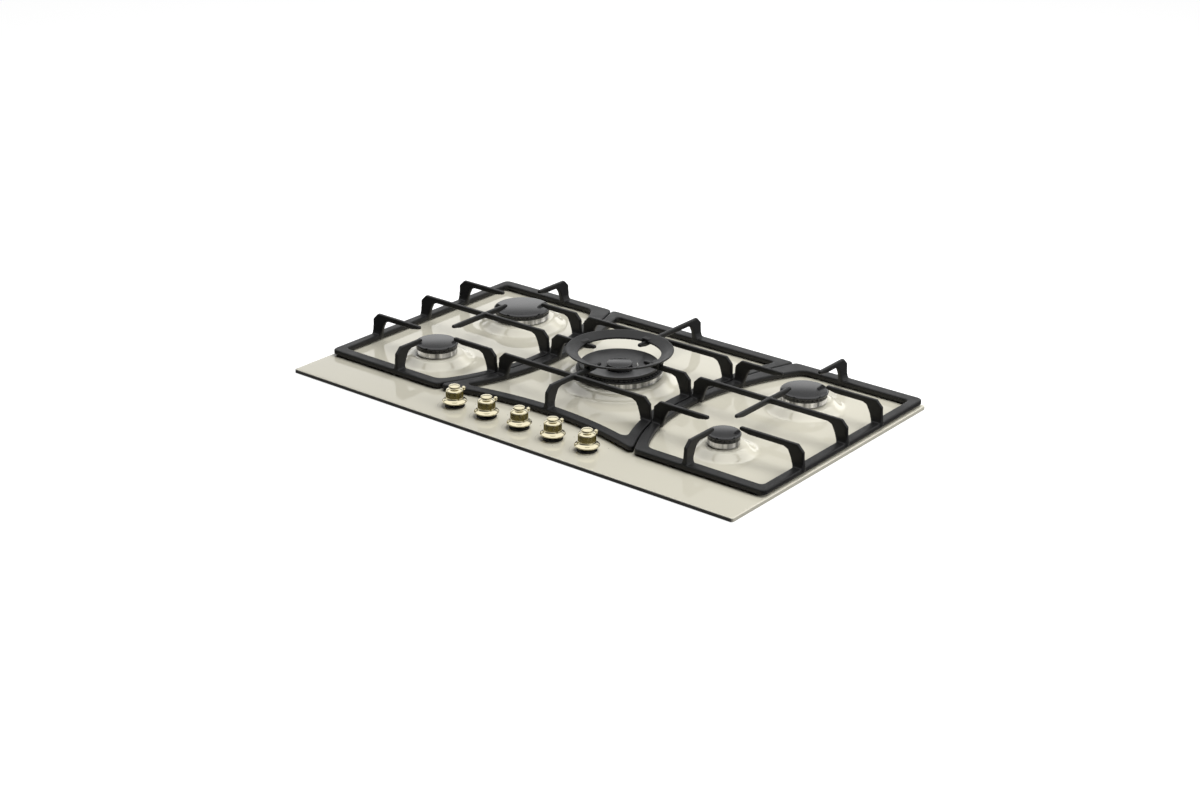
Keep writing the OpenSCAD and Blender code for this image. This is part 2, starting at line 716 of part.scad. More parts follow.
module cup(b) color(alloy) at(b) {
    neck_r = b[2] - neck_inset;
    difference() {
        union() {
            difference() {
                rod(neck_r, cup_z, ring_z);
                rod(neck_r - cup_wall, cup_z + cup_floor, ring_z + cut);
            }
            tube(b[2] + plate_out, neck_r - cup_wall / 2,
                seat_z - sheet_t - seat_gap - plate_t, seat_z - sheet_t - seat_gap);
            rod(post_r, cup_z, post_top);
            translate([0, 0, pipe_z]) rotate([90, 0, 0]) rod(inlet_boss_r, 0, neck_r + inlet_boss_l);
        }
        translate([0, 0, pipe_z]) rotate([90, 0, 0]) rod(gas_bore_r, 0, neck_r + inlet_boss_l + cut);
        translate([0, -neck_r - inlet_boss_l - cut, pipe_z]) rotate([-90, 0, 0])
            cylinder(h = pipe_seat + cut, r = pipe_r);
        rod(injector_r, pipe_z, post_top + cut);
        for (side = [-1, 1]) translate([-b[0], -b[1]]) at(sensor_place(b, side))
            rod((side > 0 ? insulator_r : thermocouple_r) + sensor_gap,
                seat_z - 2 * plate_t - sheet_t, seat_z);
    }
}

module rear_left_cup() cup(RL);
module front_left_cup() cup(FL);
module wok_cup() cup(WK);
module rear_right_cup() cup(RR);
module front_right_cup() cup(FR);

// Injectors: a nozzle with a hexagon in each cup's post
injector_l = 8;
hexagon_r = 5.2;
hexagon_h = 3.5;
nozzle_r = 0.6;

module injectors() color(brass) for (b = burners) at(b) difference() {
    union() {
        rod(injector_r, post_top - injector_l, post_top);
        translate([0, 0, post_top]) cylinder(h = hexagon_h, r = hexagon_r, $fn = 6);
    }
    rod(nozzle_r, post_top - injector_l - cut, post_top + hexagon_h + cut);
}

// Flame spreaders
web_t = 3;
skirt_in = 1;
skirt_h = 4;
venturi_drop = 16;
venturi_wall = 2;

module flame_slots(r_in, r_out, z0, gap) {
    count = round(2 * PI * r_out / gap);
    for (k = [0:count - 1]) rotate(360 * k / count)
        translate([r_in, -slot_w / 2, z0]) cube([r_out - r_in, slot_w, slot_h + cut]);
}

module spreader(b) color(alloy) at(b) {
    neck_in = b[2] - neck_inset - cup_wall;
    difference() {
        union() {
            tube(b[2], b[2] - ring_wall, ring_z, cap_z);
            difference() {
                rod(b[2] - ring_wall / 2, ring_z, ring_z + web_t);
                rod(venturi_r, ring_z - cut, ring_z + web_t + cut);
            }
            tube(neck_in - neck_gap, neck_in - neck_gap - skirt_in, ring_z - skirt_h, ring_z + web_t / 2);
            tube(venturi_r + venturi_wall, venturi_r, ring_z - venturi_drop, slot_z - slot_h);
        }
        flame_slots(b[2] - ring_wall - cut, b[2] + cut, slot_z, slot_pitch);
    }
}

module rear_left_spreader() spreader(RL);
module front_left_spreader() spreader(FL);
module rear_right_spreader() spreader(RR);
module front_right_spreader() spreader(FR);

// Wok spreader: an outer crown for the dished cap and an inner crown for the small cap
crown_step = 3.5;
crown_r = wok_r - crown_step;
inner_overhang = 2.2;
inner_crown_r = inner_cap_r - inner_overhang;
rim_top = cap_z + cap_h;
inner_cap_h = 4;
inner_cap_rise = 0.5;
inner_crown_top = rim_top + inner_cap_rise - inner_cap_h;

module wok_spreader() color(alloy) at(WK) {
    neck_in = wok_r - neck_inset - cup_wall;
    difference() {
        union() {
            tube(wok_r, wok_r - 2 * ring_wall, ring_z, slot_z);
            tube(crown_r, wok_r - 2 * ring_wall, slot_z - cut, cap_z);
            difference() {
                rod(wok_r - ring_wall, ring_z, ring_z + web_t);
                rod(inner_crown_r - ring_wall, ring_z - cut, ring_z + web_t + cut);
            }
            tube(neck_in - neck_gap, neck_in - neck_gap - skirt_in, ring_z - skirt_h, ring_z + web_t / 2);
            tube(inner_crown_r, inner_crown_r - ring_wall, ring_z - venturi_drop, inner_crown_top);
        }
        flame_slots(wok_r - 2 * ring_wall - cut, crown_r + cut, slot_z, slot_pitch);
        flame_slots(inner_crown_r - ring_wall - cut, inner_crown_r + cut,
            inner_crown_top - slot_h, slot_pitch);
    }
}

// Caps
cap_edge = 1.8;
cap_lip_h = 1.6;
cap_lip_t = 2;

module cap(b) color(black_enamel) at(b) rotate_extrude() {
    r = b[2] + cap_overhang;
    lip_r = b[2] - ring_wall - neck_gap;
    polygon([[0, cap_z], [r - cap_edge / 2, cap_z], [r, cap_z + cap_edge / 2],
        [r, cap_z + cap_h - cap_edge], [r - cap_edge, cap_z + cap_h], [0, cap_z + cap_h]]);
    translate([lip_r - cap_lip_t, cap_z - cap_lip_h]) square([cap_lip_t, cap_lip_h + cap_edge]);
}

module rear_left_cap() cap(RL);
module front_left_cap() cap(FL);
module rear_right_cap() cap(RR);
module front_right_cap() cap(FR);

dish_hole_gap = 3.5;
dish_hole_r = inner_crown_r + dish_hole_gap;
dish_t = 2.4;
dish_outer_share = 0.8;
dish_outer_drop_share = 0.35;
dish_inner_share = 0.6;
dish_inner_drop_share = 0.75;

module wok_outer_cap() color(black_enamel) at(WK) rotate_extrude() {
    low = rim_top - dish_depth;
    lip_r = wok_r - 2 * ring_wall - neck_gap;
    polygon([
        [dish_hole_r, low - dish_t / 2], [dish_hole_r + dish_t / 2, low - dish_t],
        [dish_r * dish_inner_share, rim_top - dish_t - dish_depth * dish_inner_drop_share],
        [lip_r - cap_lip_t, cap_z - cap_lip_h],
        [lip_r, cap_z - cap_lip_h], [lip_r, cap_z],
        [dish_r - cap_edge / 2, cap_z], [dish_r, cap_z + cap_edge / 2], [dish_r, rim_top - cap_edge / 2],
        [dish_r - cap_edge / 2, rim_top], [dish_r - cap_edge, rim_top],
        [dish_r * dish_outer_share, rim_top - dish_depth * dish_outer_drop_share],
        [dish_r * dish_inner_share, rim_top - dish_depth * dish_inner_drop_share],
        [dish_hole_r + dish_t, low]]);
}

module wok_inner_cap() color(black_enamel) at(WK) rotate_extrude() {
    top = rim_top + inner_cap_rise;
    lip_r = inner_crown_r - ring_wall - neck_gap;
    polygon([[0, inner_crown_top], [inner_cap_r - cap_edge / 2, inner_crown_top],
        [inner_cap_r, inner_crown_top + cap_edge / 2], [inner_cap_r, top - cap_edge / 2],
        [inner_cap_r - cap_edge / 2, top], [0, top]]);
    translate([lip_r - cap_lip_t, inner_crown_top - cap_lip_h]) square([cap_lip_t, cap_lip_h + cap_edge]);
}

// Igniters and flame sensors
insulator_rise = 3;
insulator_top = ring_z + insulator_rise;
pin_r = 0.9;
sensor_rise = 1;
sensor_top = slot_z + sensor_rise;
insulator_foot = 12;

module electrode_insulators() color("white") for (b = burners) at(sensor_place(b, 1))
    tube(insulator_r, pin_r, seat_z - insulator_foot, insulator_top);

module electrode_pins() color(zinc) for (b = burners) at(sensor_place(b, 1))
    rod(pin_r, seat_z - insulator_foot, sensor_top);

module thermocouples() color(zinc) for (b = burners) at(sensor_place(b, -1)) {
    rod(thermocouple_r, seat_z - insulator_foot, sensor_top - thermocouple_r);
    translate([0, 0, sensor_top - thermocouple_r]) sphere(thermocouple_r);
}

// Knobs
rim_low = 7.4;
rim_mid = 8.3;
rim_high = 9.2;
rim_round = 0.5;
foot_in = 5.4;
foot_slope_in = 0.8;
bell_1 = [4.1, 10.2];
bell_2 = [2.2, 11.2];
bell_3 = [0.8, 12.3];
bell_4 = [0.2, 13.4];
barrel_low = 14.6;
barrel_high = 25.6;
shoulder_1 = [0.3, 26.5];
shoulder_2 = [1.4, 27.3];
shoulder_3 = [3.2, 28];
shoulder_4 = [4.3, 28.8];
button_step = 0.4;
button_low = 29.6;
button_high = 31.2;
dome_z = 32.4;
lever_z = 22.6;
lever_from = 2;
spindle_depth = 20;

lever_start = spindle_r + lever_from;

module knob_body() difference() {
    rotate_extrude() polygon(concat(
        [[0, knob_gap], [knob_flange_r - foot_in, knob_gap], [knob_flange_r - foot_slope_in, rim_low],
         [knob_flange_r, rim_mid], [knob_flange_r - rim_round, rim_high]],
        [for (step = [bell_1, bell_2, bell_3, bell_4]) [knob_barrel_r + step[0], step[1]]],
        [[knob_barrel_r, barrel_low], [knob_barrel_r, barrel_high]],
        [for (step = [shoulder_1, shoulder_2, shoulder_3, shoulder_4])
            [knob_barrel_r - step[0], step[1]]],
        [[knob_button_r - button_step, button_low], [knob_button_r - button_step, button_high],
         [knob_button_r, dome_z]],
        [for (i = [1:corner_steps]) let (t = 90 * i / corner_steps)
            [knob_button_r * cos(t), dome_z + (knob_top - dome_z) * sin(t)]]));
    rod(spindle_r + running_gap, -cut, spindle_depth);
}

module knob(k) color(brass) at(knob_places[k - 1]) translate([0, 0, panel_z]) {
    knob_body();
    translate([0, 0, lever_z]) {
        rotate([-90, 0, 0]) rod(stem_r, lever_start, ball_x);
        translate([0, ball_x, 0]) sphere(ball_r);
    }
}

module knob_1() knob(1);
module knob_2() knob(2);
module knob_3() knob(3);
module knob_4() knob(4);
module knob_5() knob(5);

// Taps: body on the gas rail, turning plug and sliding spindle
rail_from_floor = 2;
rail_z = casing_t + rail_r + rail_from_floor;
saddle_clear = 0.2;
tap_low = rail_z;
tap_floor = 2.5;
plug_low = rail_z + rail_r + tap_floor;
plug_h = 17;
plug_gap = 0.3;
bonnet_r = 9.5;
tap_high = plug_low + plug_h + tap_floor;
bonnet_from_skin = 4;
bonnet_top = skin_z - bonnet_from_skin;
socket_floor = 4;
tap_port_z = pipe_z;
port_bore_r = 1.5;
port_boss_l = 8;
tap_end_y = knob_y + tap_d / 2 + port_boss_l;

module tap_bodies() color(brass) for (p = knob_places) at(p) difference() {
    union() {
        translate([-tap_w / 2, -tap_d / 2, tap_low]) cube([tap_w, tap_d, tap_high - tap_low]);
        rod(bonnet_r, tap_high - cut, bonnet_top);
        translate([0, 0, tap_port_z]) rotate([-90, 0, 0]) rod(inlet_boss_r, 0, tap_d / 2 + port_boss_l);
    }
    translate([-tap_w / 2 - cut, 0, rail_z]) rotate([0, 90, 0])
        cylinder(h = tap_w + 2 * cut, r = rail_r + saddle_clear);
    rod(plug_r + running_gap, plug_low, plug_low + plug_h + plug_gap);
    rod(spindle_r + running_gap, plug_low, bonnet_top + cut);
    rod(port_bore_r, rail_z, plug_low + cut);
    translate([0, 0, tap_port_z]) rotate([-90, 0, 0]) cylinder(h = tap_d, r = port_bore_r);
    translate([0, tap_end_y - knob_y - pipe_seat, tap_port_z]) rotate([-90, 0, 0])
        cylinder(h = pipe_seat + cut, r = pipe_r);
}

module tap_plug(k) color(alloy) at(knob_places[k - 1]) difference() {
    rod(plug_r, plug_low, plug_low + plug_h);
    rod(spindle_r + running_gap, plug_low + socket_floor, plug_low + plug_h + cut);
}

module spindle(k) color(zinc) at(knob_places[k - 1])
    rod(spindle_r, plug_low + socket_floor + push_travel + plug_gap,
        panel_z + spindle_depth - running_gap);

module tap_plug_1() tap_plug(1);
module tap_plug_2() tap_plug(2);
module tap_plug_3() tap_plug(3);
module tap_plug_4() tap_plug(4);
module tap_plug_5() tap_plug(5);
module spindle_1() spindle(1);
module spindle_2() spindle(2);
module spindle_3() spindle(3);
module spindle_4() spindle(4);
module spindle_5() spindle(5);

module knob_gaskets() color(rubber) for (p = knob_places) at(p)
    tube(gasket_r, spindle_hole_r, panel_z, panel_z + gasket_h);

// Gas rail, inlet elbow and feed pipes
rail_end = 4;
rail_start = -2 * knob_pitch - tap_w / 2 - rail_end;
rail_from_wall = 9;
rail_turn_x = casing_w / 2 - casing_t - rail_r - rail_from_wall;
elbow_port_h = 11;
elbow_z = pocket_h + casing_t + elbow_port_h;
elbow_r = 13;
elbow_h = 18;
rail_last_l = 26;
rail_rise_y = inlet_y - elbow_r - rail_last_l;
inlet_bore_r = 6;
inlet_relief = 1;
inlet_relief_l = 4;

module gas_rail() color(zinc) difference() {
    pipe_run([[rail_start, knob_y, rail_z], [rail_turn_x, knob_y, rail_z],
        [rail_turn_x, rail_rise_y, rail_z], [rail_turn_x, rail_rise_y, elbow_z],
        [inlet_x, rail_rise_y, elbow_z],
        [inlet_x, inlet_y - elbow_r - seat_gap, elbow_z]], rail_r);
    for (p = knob_places) at(p) rod(port_bore_r, rail_z, rail_z + rail_r + cut);
}

module gas_inlet_elbow() color(brass) translate([inlet_x, inlet_y]) difference() {
    union() {
        rod(elbow_r, pocket_h + casing_t, pocket_h + casing_t + elbow_h);
        rod(inlet_r, pocket_h - inlet_l, pocket_h - inlet_relief_l);
        rod(inlet_r - inlet_relief, pocket_h - inlet_relief_l - cut, pocket_h + casing_t + cut);
        translate([0, 0, elbow_z]) rotate([90, 0, 0]) rod(rail_r, 0, elbow_r + seat_gap);
    }
    rod(inlet_bore_r, pocket_h - inlet_l - cut, elbow_z);
}

front_pipe_gap = 38;
row_turn_y = front_y - front_left_r - front_pipe_gap;
between_y = (middle_y + front_y) / 2;
pipe_start_y = tap_end_y - pipe_seat;

function boss_end(b) = b[1] - b[2] + neck_inset - inlet_boss_l + pipe_seat;
function feed_route(k, b, turn_y) = let (x = knob_places[k][0])
    [[x, pipe_start_y, tap_port_z], [x, turn_y, tap_port_z], [b[0], turn_y, tap_port_z],
     [b[0], boss_end(b), tap_port_z]];

module feed_pipes() color(alloy) {
    pipe_run(feed_route(0, FL, row_turn_y), pipe_r);
    pipe_run(feed_route(1, RL, between_y), pipe_r);
    pipe_run([[0, pipe_start_y, tap_port_z], [0, boss_end(WK), tap_port_z]], pipe_r);
    pipe_run(feed_route(3, RR, between_y), pipe_r);
    pipe_run(feed_route(4, FR, row_turn_y), pipe_r);
}

// Spark generator on the casing's floor
box_x = -130;
box_y = 200;
box_w = 72;
box_d = 40;
box_h = 26;
ear_l = 10;
ear_t = 2.5;
lead_count = 5;
lead_pitch = 12;
lead_r = 2.2;
lead_h = 5;

module ignition_box() color("white") translate([box_x, box_y, casing_t]) difference() {
    union() {
        translate([-box_w / 2, -box_d / 2, 0]) cube([box_w, box_d, box_h]);
        translate([-box_w / 2 - ear_l, -box_d / 4, 0]) cube([box_w + 2 * ear_l, box_d / 2, ear_t]);
        for (i = [0:lead_count - 1]) translate([(i - (lead_count - 1) / 2) * lead_pitch, 0])
            rod(lead_r, box_h - cut, box_h + lead_h);
    }
    for (sx = [-1, 1]) translate([sx * (box_w + ear_l) / 2, 0]) rod(screw_r, -cut, ear_t + cut);
}

gland_flange = 2;
gland_t = 1.6;

module cable_gland() color(rubber)
    translate([gland_x, casing_d / 2, gland_z]) rotate([90, 0, 0]) difference() {
    union() {
        rod(gland_neck_r, -gland_t, casing_t + gland_t);
        rod(gland_neck_r + gland_flange, -gland_t, 0);
        rod(gland_neck_r + gland_flange, casing_t, casing_t + gland_t);
    }
    rod(gland_r, -gland_t - cut, casing_t + gland_t + cut);
}

top_panel();
burner_seats();
panel_seal();
bottom_tray();
casing_walls();
tray_screws();
clamp_brackets();
clamp_screws();
left_grate();
centre_grate();
right_grate();
left_fingers();
centre_fingers();
right_fingers();
left_grate_feet();
centre_grate_feet();
right_grate_feet();
wok_ring();
rear_left_cup();
front_left_cup();
wok_cup();
rear_right_cup();
front_right_cup();
rear_left_spreader();
front_left_spreader();
wok_spreader();
rear_right_spreader();
front_right_spreader();
rear_left_cap();
front_left_cap();
wok_outer_cap();
wok_inner_cap();
rear_right_cap();
front_right_cap();
injectors();
electrode_insulators();
electrode_pins();
thermocouples();
knob_1();
knob_2();
knob_3();
knob_4();
knob_5();
spindle_1();
spindle_2();
spindle_3();
spindle_4();
spindle_5();
tap_plug_1();
tap_plug_2();
tap_plug_3();
tap_plug_4();
tap_plug_5();
tap_bodies();
gas_rail();
gas_inlet_elbow();
feed_pipes();
ignition_box();
knob_gaskets();
cable_gland();
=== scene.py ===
# %% [markdown]
# # A built-in gas cooktop
#
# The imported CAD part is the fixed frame. It brings every piece at its true size and place,
# and this notebook gives the pieces their looks: enamel, cast iron, polished brass and alloy.
# Each cell adds one thing and prints what it made.

import json
import math

import bpy
import bmesh
from mathutils import Matrix, Vector


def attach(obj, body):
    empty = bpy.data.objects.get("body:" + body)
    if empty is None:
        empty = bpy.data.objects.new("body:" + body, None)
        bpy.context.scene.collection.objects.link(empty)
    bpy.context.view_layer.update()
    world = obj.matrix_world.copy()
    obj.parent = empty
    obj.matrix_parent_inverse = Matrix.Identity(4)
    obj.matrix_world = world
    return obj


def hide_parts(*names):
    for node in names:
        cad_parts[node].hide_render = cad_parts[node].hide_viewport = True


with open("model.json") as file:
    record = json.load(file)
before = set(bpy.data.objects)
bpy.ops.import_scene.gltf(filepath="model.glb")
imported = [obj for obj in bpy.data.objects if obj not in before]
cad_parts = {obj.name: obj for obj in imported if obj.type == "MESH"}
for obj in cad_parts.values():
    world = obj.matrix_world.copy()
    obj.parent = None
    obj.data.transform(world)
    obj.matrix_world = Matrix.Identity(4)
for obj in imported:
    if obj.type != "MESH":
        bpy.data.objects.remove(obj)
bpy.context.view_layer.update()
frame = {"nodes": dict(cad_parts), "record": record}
nodes = frame["nodes"]
record = frame["record"]

# %% [markdown]
# ## Sizes
#
# Lengths are written in millimetres, as a maker would, and `mm` turns them into scene units.
# They could be read off the meshes, but then nobody could see what they mean, so the few that
# the looks need are written down. They are those of the CAD part: the panel's top lies at 52,
# and each burner has its place and the radius of its ring.

# %% Sizes of the cooktop
def mm(value):
    return value * 0.001


PANEL = 52.0
RIM_FOOT = 46.0
PANEL_W, PANEL_D = 860.0, 520.0
SEAT_RISE, SEAT_LAND, SEAT_SLOPE, SEAT_BEND = 10.0, 10.0, 15.0, 4.0
SEAT_LIP = 5.0
BURNERS = {
    "rear_left": (-286.0, 135.0, 46.0),
    "front_left": (-286.0, -78.5, 33.5),
    "wok": (0.0, 38.0, 69.5),
    "rear_right": (286.0, 135.0, 36.2),
    "front_right": (286.0, -78.5, 24.5),
}
KNOB_X = {number: (number - 3) * 65.5 for number in range(1, 6)}
KNOB_Y = -207.0
KNOB_HOLE_R = 6.2
print("burners:", ", ".join(BURNERS))

# %% [markdown]
# ## Shared effects
#
# Real surfaces are never one flat value. An effect that several materials use is a node group,
# built once, with named inputs that each material sets for itself. The same nodes could be
# repeated in every material, but a change would then have to be made in each. The groups put out
# only masks and normals, so every material keeps its own shader.

# %% A maker of node groups
def new_group(name, inputs, outputs):
    group = bpy.data.node_groups.new(name, "ShaderNodeTree")
    for label, value in inputs:
        socket = group.interface.new_socket(label, in_out="INPUT", socket_type="NodeSocketFloat")
        socket.default_value = value
    for label, kind in outputs:
        group.interface.new_socket(label, in_out="OUTPUT", socket_type=kind)
    entry = group.nodes.new("NodeGroupInput")
    leave = group.nodes.new("NodeGroupOutput")
    entry.location, leave.location = (-900, 0), (500, 0)
    return group, entry, leave


print("group maker ready")

# %% [markdown]
# ### Grain
#
# Baked enamel is slightly wavy, and the sand of the mould leaves a rough skin on iron. That is
# finer than a mesh could show, so noise drives a bump, and the same noise is a mask for colour.

# %% Grain
def make_grain():
    group, entry, leave = new_group(
        "Grain",
        [("Scale", 200.0), ("Bump", 0.1), ("Depth", 0.0002)],
        [("Mask", "NodeSocketFloat"), ("Normal", "NodeSocketVector")],
    )
    add, link = group.nodes.new, group.links.new
    place = add("ShaderNodeTexCoord")
    coarse = add("ShaderNodeTexNoise")
    coarse.inputs["Detail"].default_value = 6.0
    coarse.inputs["Roughness"].default_value = 0.6
    bump = add("ShaderNodeBump")
    place.location, coarse.location, bump.location = (-700, 200), (-400, 100), (100, -100)
    link(place.outputs["Object"], coarse.inputs["Vector"])
    link(entry.outputs["Scale"], coarse.inputs["Scale"])
    link(coarse.outputs["Fac"], bump.inputs["Height"])
    link(entry.outputs["Bump"], bump.inputs["Strength"])
    link(entry.outputs["Depth"], bump.inputs["Distance"])
    link(coarse.outputs["Fac"], leave.inputs["Mask"])
    link(bump.outputs["Normal"], leave.inputs["Normal"])
    return group


GRAIN = make_grain()
print("group:", GRAIN.name)

# %% [markdown]
# ### Wear
#
# Handled metal and wiped enamel are duller in places. A painted map could say where, but it
# would need a picture. A noise that is squeezed in height gives soft patches, and an input sets
# their contrast.

# %% Wear
def make_wear():
    group, entry, leave = new_group(
        "Wear", [("Scale", 60.0), ("Contrast", 3.0)], [("Mask", "NodeSocketFloat")]
    )
    add, link = group.nodes.new, group.links.new
    place = add("ShaderNodeTexCoord")
    stretch = add("ShaderNodeMapping")
    stretch.inputs["Scale"].default_value = (1.0, 1.0, 6.0)
    noise = add("ShaderNodeTexNoise")
    noise.inputs["Detail"].default_value = 4.0
    centre = add("ShaderNodeMath")
    centre.operation, centre.inputs[1].default_value = "SUBTRACT", 0.5
    gain = add("ShaderNodeMath")
    gain.operation = "MULTIPLY"
    back = add("ShaderNodeMath")
    back.operation, back.use_clamp, back.inputs[1].default_value = "ADD", True, 0.5
    for step, node in enumerate((place, stretch, noise, centre, gain, back)):
        node.location = (-700 + 200 * step, 0)
    link(place.outputs["Object"], stretch.inputs["Vector"])
    link(stretch.outputs["Vector"], noise.inputs["Vector"])
    link(entry.outputs["Scale"], noise.inputs["Scale"])
    link(noise.outputs["Fac"], centre.inputs[0])
    link(centre.outputs[0], gain.inputs[0])
    link(entry.outputs["Contrast"], gain.inputs[1])
    link(gain.outputs[0], back.inputs[0])
    link(back.outputs[0], leave.inputs["Mask"])
    return group


WEAR = make_wear()
print("group:", WEAR.name)

# %% [markdown]
# ### Painted bands of reflection
#
# The ring of a burner is milled into many slots, and its reflections show upright bands of light
# and dark. This mask paints those bands into a colour, as painted reflection. An anisotropic
# shader would give bands too, but only where a lamp happens to be. A noise that hardly changes
# with height gives them under any light.

# %% Painted reflection bands
# Painted reflection: the mask sets upright light and dark bands in a colour.
def make_painted_bands():
    group, entry, leave = new_group("Streaks", [("Scale", 300.0)], [("Mask", "NodeSocketFloat")])
    add, link = group.nodes.new, group.links.new
    place = add("ShaderNodeTexCoord")
    stretch = add("ShaderNodeMapping")
    stretch.inputs["Scale"].default_value = (1.0, 1.0, 0.06)
    noise = add("ShaderNodeTexNoise")
    noise.inputs["Detail"].default_value = 3.0
    sharpen = add("ShaderNodeMapRange")
    sharpen.inputs["From Min"].default_value, sharpen.inputs["From Max"].default_value = 0.38, 0.62
    for step, node in enumerate((place, stretch, noise, sharpen)):
        node.location = (-700 + 250 * step, 0)
    link(place.outputs["Object"], stretch.inputs["Vector"])
    link(stretch.outputs["Vector"], noise.inputs["Vector"])
    link(entry.outputs["Scale"], noise.inputs["Scale"])
    link(noise.outputs["Fac"], sharpen.inputs["Value"])
    link(sharpen.outputs["Result"], leave.inputs["Mask"])
    return group


PAINTED_BANDS = make_painted_bands()
print("group:", PAINTED_BANDS.name)

# %% [markdown]
# ### Above
#
# The crown of a spreader is painted black, as painted shade of its slots under the cap, and the
# ring below it is bright. Two materials would need an edge in the mesh at that height. A mask of
# everything over the height doesn't.

# %% Above
def make_above():
    group, entry, leave = new_group("Above", [("Height", 0.07)], [("Mask", "NodeSocketFloat")])
    add, link = group.nodes.new, group.links.new
    place = add("ShaderNodeTexCoord")
    split = add("ShaderNodeSeparateXYZ")
    over = add("ShaderNodeMath")
    over.operation = "GREATER_THAN"
    for step, node in enumerate((place, split, over)):
        node.location = (-600 + 250 * step, 0)
    link(place.outputs["Object"], split.inputs[0])
    link(split.outputs["Z"], over.inputs[0])
    link(entry.outputs["Height"], over.inputs[1])
    link(over.outputs[0], leave.inputs["Mask"])
    return group


ABOVE = make_above()
print("group:", ABOVE.name)

# %% [markdown]
# ## The material maker
#
# Each finish could be wired by hand, but they all need the same three things: two close colours
# mixed by the grain mask, a roughness that moves between two values by the wear mask, and a
# bump. So one function wires them. Fixed values such as the index of refraction go straight on
# the socket.

# %% A maker of materials
def new_material(name, colours, roughness, metallic=0.0, grain=(200.0, 0.1, 0.0002), wear=60.0, **fixed):
    material = bpy.data.materials.new(name)
    material.use_nodes = True
    tree = material.node_tree
    shader = tree.nodes["Principled BSDF"]
    skin = tree.nodes.new("ShaderNodeGroup")
    skin.node_tree = GRAIN
    for label, value in zip(("Scale", "Bump", "Depth"), grain):
        skin.inputs[label].default_value = value
    rub = tree.nodes.new("ShaderNodeGroup")
    rub.node_tree = WEAR
    rub.inputs["Scale"].default_value = wear
    tint = tree.nodes.new("ShaderNodeMix")
    tint.data_type = "RGBA"
    tint.inputs[6].default_value = (*colours[0], 1.0)
    tint.inputs[7].default_value = (*colours[1], 1.0)
    spread = tree.nodes.new("ShaderNodeMapRange")
    spread.inputs["To Min"].default_value, spread.inputs["To Max"].default_value = roughness
    for step, node in enumerate((skin, rub, tint, spread)):
        node.location = (-700 + 220 * (step // 2), 200 - 260 * (step % 2))
    link = tree.links.new
    link(skin.outputs["Mask"], tint.inputs[0])
    link(tint.outputs[2], shader.inputs["Base Color"])
    link(rub.outputs["Mask"], spread.inputs["Value"])
    link(spread.outputs["Result"], shader.inputs["Roughness"])
    link(skin.outputs["Normal"], shader.inputs["Normal"])
    shader.inputs["Metallic"].default_value = metallic
    for label, value in fixed.items():
        shader.inputs[label.replace("_", " ")].default_value = value
    return material


print("material maker ready")

# %% [markdown]
# ## Enamel, iron and rubber
#
# The panel's cream enamel is glass on steel, so it is very smooth and reflects strongly. The
# supports are iron with a matt black enamel, and the caps have a smoother one, which mirrors
# the room in a soft grey. A coat over a rough base could do the same, but one smooth layer is
# enough, because the base hardly shows.

# %% Enamels and rubber
ENAMEL = new_material("cream enamel", ((0.70, 0.67, 0.555), (0.715, 0.685, 0.57)), (0.03, 0.05),
                      grain=(18.0, 0.012, 0.0001), wear=9.0, IOR=1.8)
IRON = new_material("cast iron enamel", ((0.006, 0.006, 0.0063), (0.011, 0.011, 0.011)), (0.38, 0.5),
                    grain=(900.0, 0.22, 0.0003), wear=40.0, IOR=1.36)
CAP = new_material("cap enamel", ((0.012, 0.012, 0.013), (0.017, 0.017, 0.018)), (0.10, 0.14),
                   grain=(700.0, 0.05, 0.0002), wear=30.0, IOR=1.55)
DISH = new_material("dish enamel", ((0.016, 0.016, 0.017), (0.022, 0.022, 0.022)), (0.3, 0.42),
                    grain=(700.0, 0.08, 0.0002), wear=30.0, IOR=1.55)
RUBBER = new_material("rubber", ((0.010, 0.010, 0.010), (0.018, 0.018, 0.018)), (0.6, 0.8),
                      grain=(500.0, 0.1, 0.0002), wear=60.0)
print("enamels and rubber:", ENAMEL.name, IRON.name, CAP.name, DISH.name, RUBBER.name, sep=", ")

# %% [markdown]
# ## Metals and small parts
#
# The knobs are polished brass, pale in a bright room. Their ribbed grip is given a darker brass
# colour, which is painted shade for the dark reflections on the barrel. Alloy, zinc, ceramic and
# plastic are mostly hidden, but each piece has its own finish all the same. The printed marks
# are plain inks.

# %% Metals, ceramic, plastic and inks
ALLOY = new_material("machined alloy", ((0.66, 0.66, 0.65), (0.72, 0.72, 0.71)), (0.16, 0.3),
                     metallic=1.0, grain=(500.0, 0.03, 0.0001), wear=25.0)
# Painted shade: near-black alloy that darkens the seam between each spreader and its seat.
SEAM_SHADE_CUP = new_material("alloy, painted seam shade", ((0.02, 0.02, 0.019), (0.035, 0.035, 0.033)), (0.5, 0.65),
                   metallic=0.4, grain=(500.0, 0.05, 0.0001), wear=25.0)
BRASS = new_material("polished brass", ((0.62, 0.565, 0.39), (0.68, 0.625, 0.45)), (0.04, 0.09),
                     metallic=1.0, grain=(90.0, 0.02, 0.0001), wear=120.0)
